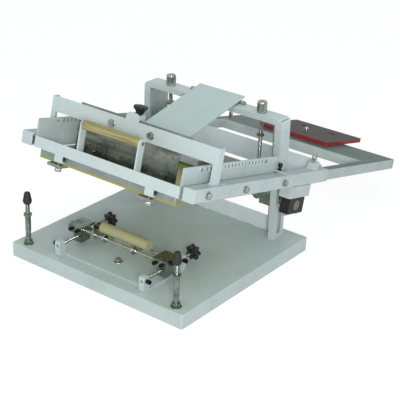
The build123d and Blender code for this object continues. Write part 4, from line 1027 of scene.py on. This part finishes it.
@dataclass
class HeightScrews:
    """Two knurled screws through the portal beam that lift the head.

    Attributes:
        knob_profile: the knob's height, radius and depth of groove, from its foot up.
    """

    offset: float = 0.133
    depth: float = 0.188
    foot: float = 0.1165
    beam_top: float = 0.3332
    into_knob: float = 0.001
    radius: float = 0.005
    grooves: int = 36
    nut_flats: float = 0.017
    nut_height: float = 0.008
    nut_tops: tuple[float, float] = (0.293, 0.283)
    knob_profile: tuple[tuple[float, float, float], ...] = (
        (0.0000, 0.0104, 0.0),
        (0.0012, 0.0115, 0.0),
        (0.0026, 0.0115, 0.0),
        (0.0030, 0.0115, 0.0006),
        (0.0222, 0.0115, 0.0006),
        (0.0226, 0.0115, 0.0),
        (0.0244, 0.0112, 0.0),
        (0.0262, 0.0096, 0.0),
    )

    def knob(self) -> Skin:
        """A straight knurl: the radius falls in a V once for each groove, between two plain rims.

        Returns:
            The knob's skin, with its foot at height zero.
        """
        around = angles(self.grooves * 6)
        height, radius, groove = np.array(self.knob_profile).T[:, :, None]
        dip = np.abs((around / TURN * self.grooves) % 1.0 * 2.0 - 1.0)
        return Skin(turned(radius - groove * dip, height, around))

    def build(self) -> None:
        """Make each screw with its thread, knob and lock nut."""
        for (side, hand), nut_top in zip(SIDES, self.nut_tops):
            place = WORLD.at(side * self.offset, self.depth, 0.0)
            parts = [
                (thread(self.radius, self.foot, self.beam_top + self.into_knob, M10_PITCH), place),
                (self.knob(), place.at(0.0, 0.0, self.beam_top)),
                (hexagon(self.nut_flats, nut_top - self.nut_height, nut_top), place),
            ]
            piece = make_piece(f"height_screw_thread_{hand}", parts)
            finish_piece(piece, ZINC, f"height_{hand}", "zinc_steel", f"height_screw_{hand}")


@dataclass
class StopPosts:
    """Threaded studs with tapered rubber caps that catch the lowered arms."""

    offset: float = 0.217
    depth: float = -0.217
    stud_low: float = 0.079
    stud_high: float = 0.1505
    radius: float = 0.005
    cap_profile: Profile = (
        (0.0074, 0.1355),
        (0.0081, 0.1357),
        (0.0092, 0.1382),
        (0.0104, 0.1414),
        (0.0105, 0.1424),
        (0.0103, 0.1436),
        (0.0094, 0.1480),
        (0.0085, 0.1530),
        (0.0076, 0.1580),
        (0.0068, 0.1612),
        (0.0058, 0.1630),
        (0.0040, 0.1639),
    )

    def build(self) -> None:
        """Make both studs and both caps."""
        for side, hand in SIDES:
            place = WORLD.at(side * self.offset, self.depth, 0.0)
            rod = thread(self.radius, self.stud_low, self.stud_high, M10_PITCH)
            stud = make_piece(f"post_thread_{hand}", [(rod, place)])
            finish_piece(stud, DARK_ZINC, f"post_{hand}", "zinc_steel", f"post_stud_{hand}")
            cap = make_piece(f"post_cap_{hand}", [(lathe(self.cap_profile), place)], smooth=60.0)
            finish_piece(cap, CAP, f"post_{hand}", "rubber", f"rubber_cap_{hand}")


@dataclass
class RollerJig:
    """The jig's long screws with star knobs, and its bolt and socket screws.

    Attributes:
        star_profile: the star's radius and depth behind its free face, as are the hub's and the tip's.
        flange_profile: radius and height above the plate of the bolt's flange, as are the shank's.
    """

    rod_offset: float = 0.1235
    rod_level: float = 0.060
    rod_front: float = -0.211
    rod_rear: float = -0.054
    rod_radius: float = 0.004
    knob_face: float = -0.032
    lobes: int = 7
    lobe_depth: float = 0.30
    lobe_sharp: float = 0.8
    bolt_depth: float = -0.153
    bolt_flats: float = 0.013
    bolt_low: float = 0.0016
    bolt_high: float = 0.0071
    plate_top: float = 0.038
    ear_offset: float = 0.131
    ear_rows: tuple[float, float] = (-0.2105, -0.0845)
    cap_radius: float = 0.005
    cap_length: float = 0.010
    cap_edge: float = 0.0006
    socket_flats: float = 0.00475
    socket_depth: float = 0.0025
    socket_taper: float = 0.98
    knurls: int = 32
    knurl_depth: float = 0.0002
    star_profile: Profile = (
        (0.0060, 0.0000),
        (0.0110, 0.0004),
        (0.0165, 0.0014),
        (0.0188, 0.0034),
        (0.0193, 0.0060),
        (0.0193, 0.0100),
        (0.0186, 0.0128),
        (0.0160, 0.0148),
        (0.0115, 0.0158),
    )
    hub_profile: Profile = (
        (0.0082, 0.0150),
        (0.0084, 0.0165),
        (0.0080, 0.0215),
        (0.0072, 0.0230),
        (0.0045, 0.0232),
    )
    tip_profile: Profile = ((0.0030, -0.0004), (0.0042, 0.0002), (0.0042, 0.002))
    flange_profile: Profile = (
        (0.0109, 0.0),
        (0.0110, 0.0004),
        (0.0106, 0.0011),
        (0.0072, 0.0022),
        (0.0060, 0.0024),
    )
    shank_profile: Profile = ((0.004, -0.004), (0.004, 0.001))

    def star(self) -> Skin:
        """The knob's lobed star, from its free face back to the hub."""
        return lobed(self.star_profile, self.lobes, self.lobe_depth, sharp=self.lobe_sharp)

    def socket_screw(self) -> Skin:
        """A cap head whose end sinks into a six-sided socket, with a knurled rim.

        The rim's radius falls by the knurl's depth times half of one plus the
        cosine of knurls times the angle. The socket's radius is half its flats
        over the cosine of the angle from the middle of the nearest flat.

        Returns:
            The skin of the head, with its foot at height zero.
        """
        around = angles(96)
        top = self.cap_length
        socket = self.socket_flats / np.cos((around % (TURN / 6)) - TURN / 12) / 2.0
        height = np.array([0.0, top - self.cap_edge, top, top, top - self.socket_depth])[:, None]
        rim = np.array([self.cap_radius, self.cap_radius, self.cap_radius - self.cap_edge])[:, None]
        outer = rim * np.ones_like(around)
        outer[0] -= self.knurl_depth * (0.5 + 0.5 * np.cos(self.knurls * around[0]))
        radii = np.concatenate([outer, socket, socket * self.socket_taper])
        return Skin(turned(radii, height, around))

    def build_rods(self) -> None:
        """Make both long screws, each with its star knob."""
        for side, hand in SIDES:
            line = WORLD.at(side * self.rod_offset, 0.0, self.rod_level)
            back = line.at(0.0, self.knob_face, 0.0).along_y(forward=False)
            parts = [(self.star(), back), (lathe(self.hub_profile), back), (lathe(self.tip_profile), back)]
            knob = make_piece(f"star_knob_{hand}", parts, smooth=50.0)
            finish_piece(knob, BLACK, f"jig_knob_{hand}", "black_plastic", f"jig_screw_{hand}")
            rod = thread(self.rod_radius, 0.0, self.rod_rear - self.rod_front, M8_PITCH)
            bar = make_piece(f"jig_rod_{hand}", [(rod, line.at(0.0, self.rod_front, 0.0).along_y())])
            finish_piece(bar, DARK_ZINC, f"jig_knob_{hand}", "zinc_steel", f"jig_screw_{hand}")

    def build(self) -> None:
        """Make the screws, the centre bolt and the four ear screws."""
        self.build_rods()
        place = WORLD.at(0.0, self.bolt_depth, self.plate_top)
        parts = [
            (lathe(self.flange_profile), place),
            (hexagon(self.bolt_flats, self.bolt_low, self.bolt_high), place),
            (lathe(self.shank_profile), place),
        ]
        bolt = make_piece("jig_centre_bolt", parts)
        finish_piece(bolt, ZINC, "base", "zinc_steel", "jig_fasteners")
        screws: list[tuple[Skin, Place]] = []
        for side, _ in SIDES:
            for row in self.ear_rows:
                ear = WORLD.at(side * self.ear_offset, row, self.rod_level).along_x(side > 0)
                screws.append((self.socket_screw(), ear))
        heads = make_piece("jig_ear_screws", screws)
        finish_piece(heads, OXIDE, "base", "black_steel", "jig_fasteners")


@dataclass
class HeadBolts:
    """Hexagon bolts and washers of the arms, the bearings and the bridge."""

    arm_outer: float = 0.243
    level: float = 0.0605
    places: tuple[float, ...] = (0.073, 0.230, 0.368)
    arm_grip: float = 0.0315
    bearing_centre: float = 0.231
    bearing_low: float = -0.020
    bearing_pitch: float = 0.022
    bearing_flats: float = 0.010
    bearing_head: float = 0.005
    bearing_radius: float = 0.003
    bearing_grip: float = 0.041
    bridge_front: float = 0.341
    bridge_offset: float = 0.055
    bridge_level: float = 0.1347
    bridge_grip: float = 0.0054
    flats: float = 0.013
    head_height: float = 0.0055
    nut_height: float = 0.008
    shank_radius: float = 0.004
    washer_radius: float = 0.0085
    washer_height: float = 0.0016
    washer_edge: float = 0.0003

    def bolt(self, grip: float) -> list[Skin]:
        """A washer, a hexagon head, and a shank that runs down from the face at zero.

        Args:
            grip: length of the shank below the face.

        Returns:
            The skins of the head, the washer and the shank.
        """
        outer, edge, top = self.washer_radius, self.washer_edge, self.washer_height
        washer = ((outer - edge, 0.0), (outer, edge), (outer, top - edge), (outer - edge, top))
        shank = ((self.shank_radius, -grip), (self.shank_radius, 0.0))
        return [hexagon(self.flats, top, top + self.head_height), lathe(washer), lathe(shank)]

    def build(self) -> None:
        """Make all the head's bolts as one piece."""
        parts: list[tuple[Skin, Place]] = []
        bearing_shank = ((self.bearing_radius, 0.0), (self.bearing_radius, self.bearing_grip))
        for side, _ in SIDES:
            for along in self.places:
                face = HEAD.at(side * self.arm_outer, -along, self.level).along_x(side > 0)
                parts += [(skin, face) for skin in self.bolt(self.arm_grip)]
            for end in (-1, 1):
                foot = HEAD.at(side * self.bearing_centre, end * self.bearing_pitch, self.bearing_low)
                parts.append((hexagon(self.bearing_flats, -self.bearing_head, 0.0), foot))
                parts.append((lathe(bearing_shank), foot))
            bar = HEAD.at(side * self.bridge_offset, -self.bridge_front, self.bridge_level)
            face = bar.along_y(forward=False)
            parts += [(skin, face) for skin in self.bolt(self.bridge_grip)]
            parts.append((hexagon(self.flats, -self.bridge_grip - self.nut_height, -self.bridge_grip), face))
        piece = make_piece("head_bolt_set", parts)
        finish_piece(piece, ZINC, "head", "zinc_steel", "head_bolts")


@dataclass
class PressureKnob:
    """The flared knob that sets how hard the squeegee presses."""

    ahead: float = 0.321
    knob_low: float = 0.168
    into_knob: float = 0.002
    collar_low: float = 0.1268
    into_collar: float = 0.001
    radius: float = 0.004
    lobes: int = 8
    lobe_depth: float = 0.16
    lobe_sharp: float = 2.2
    flare_profile: Profile = (
        (0.0085, 0.0000),
        (0.0092, 0.0006),
        (0.0094, 0.0040),
        (0.0104, 0.0070),
        (0.0136, 0.0102),
        (0.0157, 0.0130),
        (0.0159, 0.0160),
        (0.0152, 0.0180),
        (0.0132, 0.0189),
        (0.0060, 0.0190),
        (0.0055, 0.0184),
    )
    collar_profile: Profile = ((0.0056, 0.0), (0.0060, 0.0004), (0.0060, 0.0036), (0.0056, 0.0040))

    def build(self) -> None:
        """Make the knob, its screw and the collar under the lug."""
        place = HEAD.at(0.0, -self.ahead, 0.0)
        flare = lobed(self.flare_profile, self.lobes, self.lobe_depth, sharp=self.lobe_sharp)
        knob = make_piece("pressure_knob_head", [(flare, place.at(0.0, 0.0, self.knob_low))], smooth=50.0)
        finish_piece(knob, BLACK, "pressure", "black_plastic", "pressure_knob")
        low, high = self.collar_low + self.into_collar, self.knob_low + self.into_knob
        parts = [
            (thread(self.radius, low, high, M8_PITCH), place),
            (lathe(self.collar_profile), place.at(0.0, 0.0, self.collar_low)),
        ]
        screw = make_piece("pressure_screw", parts)
        finish_piece(screw, ZINC, "pressure", "zinc_steel", "pressure_knob")


@dataclass
class TailClamps:
    """Wing screws on the arms' bosses that hold the sliding tail.

    Attributes:
        hub_profile: the hub's radius and height above the stem.
    """

    offset: float = 0.228
    behind: float = 0.068
    tip: float = 0.0736
    boss_top: float = 0.093
    stem: float = 0.008
    radius: float = 0.004
    wing_size: tuple[float, float, float] = (0.0052, 0.0098, 0.0108)
    wing_power: float = 2.6
    wing_reach: float = 0.0054
    wing_rise: float = 0.0060
    hub_profile: Profile = (
        (0.0040, -0.0012),
        (0.0054, 0.0),
        (0.0055, 0.0040),
        (0.0046, 0.0070),
        (0.0020, 0.0077),
    )

    def build(self) -> None:
        """Make each wing screw with two rounded wings on a hub."""
        top = self.boss_top + self.stem
        for side, hand in SIDES:
            place = HEAD.at(side * self.offset, self.behind, 0.0)
            crown = place.at(0.0, 0.0, top)
            parts = [(thread(self.radius, self.tip, top, M8_PITCH), place), (lathe(self.hub_profile), crown)]
            for end in (-1, 1):
                wing = capsule_box(self.wing_size, power=self.wing_power)
                parts.append((wing, crown.at(0.0, end * self.wing_reach, self.wing_rise)))
            piece = make_piece(f"wing_screw_{hand}", parts, smooth=50.0)
            finish_piece(piece, ZINC, f"tail_screw_{hand}", "zinc_steel", f"tail_clamp_{hand}")


@dataclass
class ScreenClamps:
    """Knurled thumb screws that press the clamp bars against the screen."""

    offset: float = 0.1285
    ahead: float = 0.4096
    low: float = 0.0101
    top: float = 0.036
    radius: float = 0.003
    into_head: float = 0.0002
    thread_depth: float = 0.0004
    ridges: int = 24
    ridge_depth: float = 0.05
    head_profile: Profile = (
        (0.0060, 0.0),
        (0.0072, 0.0006),
        (0.0074, 0.0014),
        (0.0074, 0.0064),
        (0.0070, 0.0076),
        (0.0050, 0.0080),
    )

    def build(self) -> None:
        """Make each thumb screw, head down."""
        foot = self.low + self.head_profile[-1][1] - self.into_head
        for side, hand in SIDES:
            place = HEAD.at(side * self.offset, -self.ahead, 0.0)
            head = lobed(self.head_profile, self.ridges, self.ridge_depth, columns=8 * self.ridges)
            parts = [
                (head, place.at(0.0, 0.0, self.low)),
                (thread(self.radius, foot, self.top, M6_PITCH, self.thread_depth), place),
            ]
            piece = make_piece(f"thumb_screw_{hand}", parts, smooth=40.0)
            finish_piece(piece, ZINC, f"screen_screw_{hand}", "zinc_steel", f"clamp_screw_{hand}")


@dataclass
class IndexSlots:
    """The shaded bottoms of the slots along both index strips."""

    count: int = 17
    first: float = 0.330
    pitch: float = 0.013
    level: float = 0.103
    width: float = 0.0041
    height: float = 0.0076
    face: float = 0.20405
    corners: int = 16
    roundness: float = 0.5
    closing: float = 0.01

    def build(self) -> None:
        """Lay one rounded patch in each slot, just off the side plate.

        A patch's rim is a circle whose cosine and sine are raised to the
        roundness, with their signs kept, times half the width and height. Its
        inner ring is the same one shrunk almost to a point.
        """
        rim = turned(1.0, 0.0, angles(self.corners))[0]
        shape = np.sign(rim) * np.abs(rim) ** self.roundness
        rise = shape[:, 1] * self.height / 2.0
        parts: list[tuple[Skin, Place]] = []
        for side, _ in SIDES:
            out = np.full(self.corners, side * self.face)
            run = side * shape[:, 0] * self.width / 2.0
            for number in range(self.count):
                middle = self.pitch * number - self.first
                rings = [
                    np.stack([out, middle + share * run, self.level + share * rise], axis=-1)
                    for share in (1.0, self.closing)
                ]
                parts.append((Skin(np.stack(rings), capped=False), HEAD))
        piece = make_piece("index_slot_shade", parts)
        finish_piece(piece, SLOT_SHADE, "screen", "paint")


@dataclass
class ScreenCloth:
    """The stretched cloth under the screen frame, with its coated border."""

    half_width: float = 0.190
    rear: float = 0.054
    front: float = 0.4025
    level: float = 0.0255
    columns: int = 60
    rows: int = 56
    ripple: float = 0.0001
    waves: tuple[float, float] = (21.0, 26.0)
    fading: int = 8
    thickness: float = 0.0004

    def build(self) -> None:
        """Make the cloth as one taut sheet with a slight ripple.

        The height is the level plus the ripple times the product of two slow
        sines. It fades as one minus the distance from the middle, as a share
        of the way to the frame, to a high power.
        """
        across = np.linspace(-self.half_width, self.half_width, self.columns)[None, :]
        along = np.linspace(-self.front, -self.rear, self.rows)[:, None]
        x, y = np.broadcast_arrays(across, along)
        middle = -(self.front + self.rear) / 2.0
        half = (self.front - self.rear) / 2.0
        side_fade = np.clip(1.0 - (np.abs(x) / self.half_width) ** self.fading, 0, 1)
        end_fade = np.clip(1.0 - (np.abs(y - middle) / half) ** self.fading, 0, 1)
        wave = np.sin(x * self.waves[0]) * np.sin(y * self.waves[1])
        z = self.level + self.ripple * wave * side_fade * end_fade
        skin = Skin(np.stack([x, y, z], axis=-1), closed=False, capped=False)
        piece = make_piece("screen_cloth_sheet", [(skin, HEAD)])
        layer = piece.data.uv_layers.new(name="cloth")
        corner = np.zeros(len(piece.data.loops), dtype=np.int32)
        piece.data.loops.foreach_get("vertex_index", corner)
        flat = np.stack([x.ravel(), (y - middle).ravel()], axis=-1)[corner]
        layer.data.foreach_set("uv", flat.astype(np.float32).ravel())
        thick = piece.modifiers.new("thickness", "SOLIDIFY")
        thick.thickness = self.thickness
        thick.offset = 0.0
        finish_piece(piece, CLOTH, "screen", "mesh", "screen_mesh")


# ---------------------------------------------------------------------------
# Studio
# ---------------------------------------------------------------------------
@dataclass(frozen=True)
class Lamp:
    """A square soft lamp, turned towards its aim, with its power in watts."""

    name: str
    place: tuple[float, float, float]
    aim: tuple[float, float, float]
    size: float
    power: float

    def build(self) -> None:
        """Add the lamp to the scene."""
        data = bpy.data.lights.new(self.name, "AREA")
        data.size = self.size
        data.energy = self.power
        lamp = bpy.data.objects.new(self.name, data)
        back = np.array(self.place) - np.array(self.aim)
        back /= np.linalg.norm(back)
        right = np.cross((0.0, 0.0, 1.0), back)
        right /= np.linalg.norm(right)
        turn = np.eye(4)
        turn[:3, 0], turn[:3, 1], turn[:3, 2], turn[:3, 3] = right, np.cross(back, right), back, self.place
        lamp.matrix_world = Matrix(turn.tolist())
        bpy.context.scene.collection.objects.link(lamp)


@dataclass
class Studio:
    """The camera, the floor and the lights.

    Attributes:
        location: where the camera stands.
        right: the picture's right, seen from there.
        up: the picture's top, seen from there.
        focal: the lens, in millimetres.
        world_light: strength of the light from all round.
        world_white: strength of the background that the camera sees.
        floor_glow: brightness of the white that the camera sees on the floor.
        floor_share: how much of the floor's look that white takes.
        lamps: the lamps.
    """

    location: tuple[float, float, float] = (1.4892, -1.8480, 1.2620)
    right: tuple[float, float, float] = (0.7908, 0.6112, 0.0334)
    up: tuple[float, float, float] = (-0.2857, 0.3203, 0.9032)
    focal: float = 102.98
    world_light: float = 0.66
    world_white: float = 1.04
    floor_size: float = 12.0
    floor_glow: float = 1.06
    floor_share: float = 0.86
    lamps: tuple[Lamp, ...] = (
        Lamp("front_lamp", (-0.5, -3.2, 1.0), (0.0, 0.0, 0.15), 1.2, 7.0),
        Lamp("eye_lamp", (2.1, -2.2, 1.30), (0.0, 0.0, 0.18), 0.6, 44.0),
        Lamp("top_lamp", (0.6, -0.6, 2.6), (0.0, 0.0, 0.1), 2.0, 12.0),
    )

    def camera(self) -> None:
        """Stand the camera where the photograph was taken from."""
        data = bpy.data.cameras.new("camera")
        data.sensor_fit = "HORIZONTAL"
        data.sensor_width = 36.0
        data.lens = self.focal
        data.clip_start = 0.05
        data.clip_end = 60.0
        camera = bpy.data.objects.new("camera", data)
        right = np.array(self.right) / np.linalg.norm(self.right)
        back = np.cross(right, np.array(self.up))
        back /= np.linalg.norm(back)
        up = np.cross(back, right)
        turn = np.eye(4)
        turn[:3, 0], turn[:3, 1], turn[:3, 2], turn[:3, 3] = right, up, back, self.location
        camera.matrix_world = Matrix(turn.tolist())
        bpy.context.scene.collection.objects.link(camera)
        bpy.context.scene.camera = camera

    def world(self) -> None:
        """White to the camera, and a soft even light on everything."""
        world = bpy.data.worlds.new("studio")
        bpy.context.scene.world = world
        world.use_nodes = True
        world.node_tree.nodes.clear()
        wiring = Wiring(world.node_tree)
        path = wiring.add("ShaderNodeLightPath")
        seen = wiring.math("MAXIMUM", path.outputs["Is Camera Ray"], path.outputs["Is Transmission Ray"])
        light = wiring.add("ShaderNodeBackground", Color=(0.93, 0.97, 1.0, 1.0), Strength=self.world_light)
        white = wiring.add("ShaderNodeBackground", Color=(1.0, 1.0, 1.0, 1.0), Strength=self.world_white)
        shown = wiring.add("ShaderNodeMixShader")
        output = wiring.add("ShaderNodeOutputWorld")
        wiring.link(seen, shown.inputs[0])
        wiring.link(light.outputs[0], shown.inputs[1])
        wiring.link(white.outputs[0], shown.inputs[2])
        wiring.link(shown.outputs[0], output.inputs["Surface"])

    def floor(self) -> None:
        """A pale floor that keeps the press's shadow and is white to the camera."""
        half = self.floor_size / 2.0
        near, far = ([[-half, y, 0.0], [half, y, 0.0]] for y in (-half, half))
        grid = np.array([near, far])
        floor = make_piece("floor", [(Skin(grid, closed=False, capped=False), WORLD)])
        made = bpy.data.materials.new("floor_white")
        made.use_nodes = True
        made.node_tree.nodes.clear()
        wiring = Wiring(made.node_tree)
        matt = wiring.add("ShaderNodeBsdfPrincipled", Roughness=0.9)
        matt.inputs["Base Color"].default_value = (0.80, 0.80, 0.80, 1.0)
        glow = wiring.add("ShaderNodeEmission", Strength=self.floor_glow)
        path = wiring.add("ShaderNodeLightPath")
        shown = wiring.add("ShaderNodeMixShader")
        output = wiring.add("ShaderNodeOutputMaterial")
        wiring.link(wiring.math("MULTIPLY", path.outputs["Is Camera Ray"], self.floor_share), shown.inputs[0])
        wiring.link(matt.outputs[0], shown.inputs[1])
        wiring.link(glow.outputs[0], shown.inputs[2])
        wiring.link(shown.outputs[0], output.inputs["Surface"])
        floor.data.materials.append(made)

    def build(self) -> None:
        """Set up the whole studio."""
        self.camera()
        self.world()
        self.floor()
        for lamp in self.lamps:
            lamp.build()
        bpy.context.scene.view_settings.view_transform = "Standard"


def main() -> None:
    """Build the studio and every sub-assembly."""
    logging.basicConfig(level=logging.INFO, format="%(name)s: %(message)s")
    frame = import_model()
    Studio().build()
    Carried().build(frame["nodes"])
    assemblies = (
        HeightScrews(),
        StopPosts(),
        RollerJig(),
        HeadBolts(),
        PressureKnob(),
        TailClamps(),
        ScreenClamps(),
        IndexSlots(),
        ScreenCloth(),
    )
    for assembly in assemblies:
        assembly.build()
        LOG.info("%s built", type(assembly).__name__)


if __name__ == "__main__":
    main()
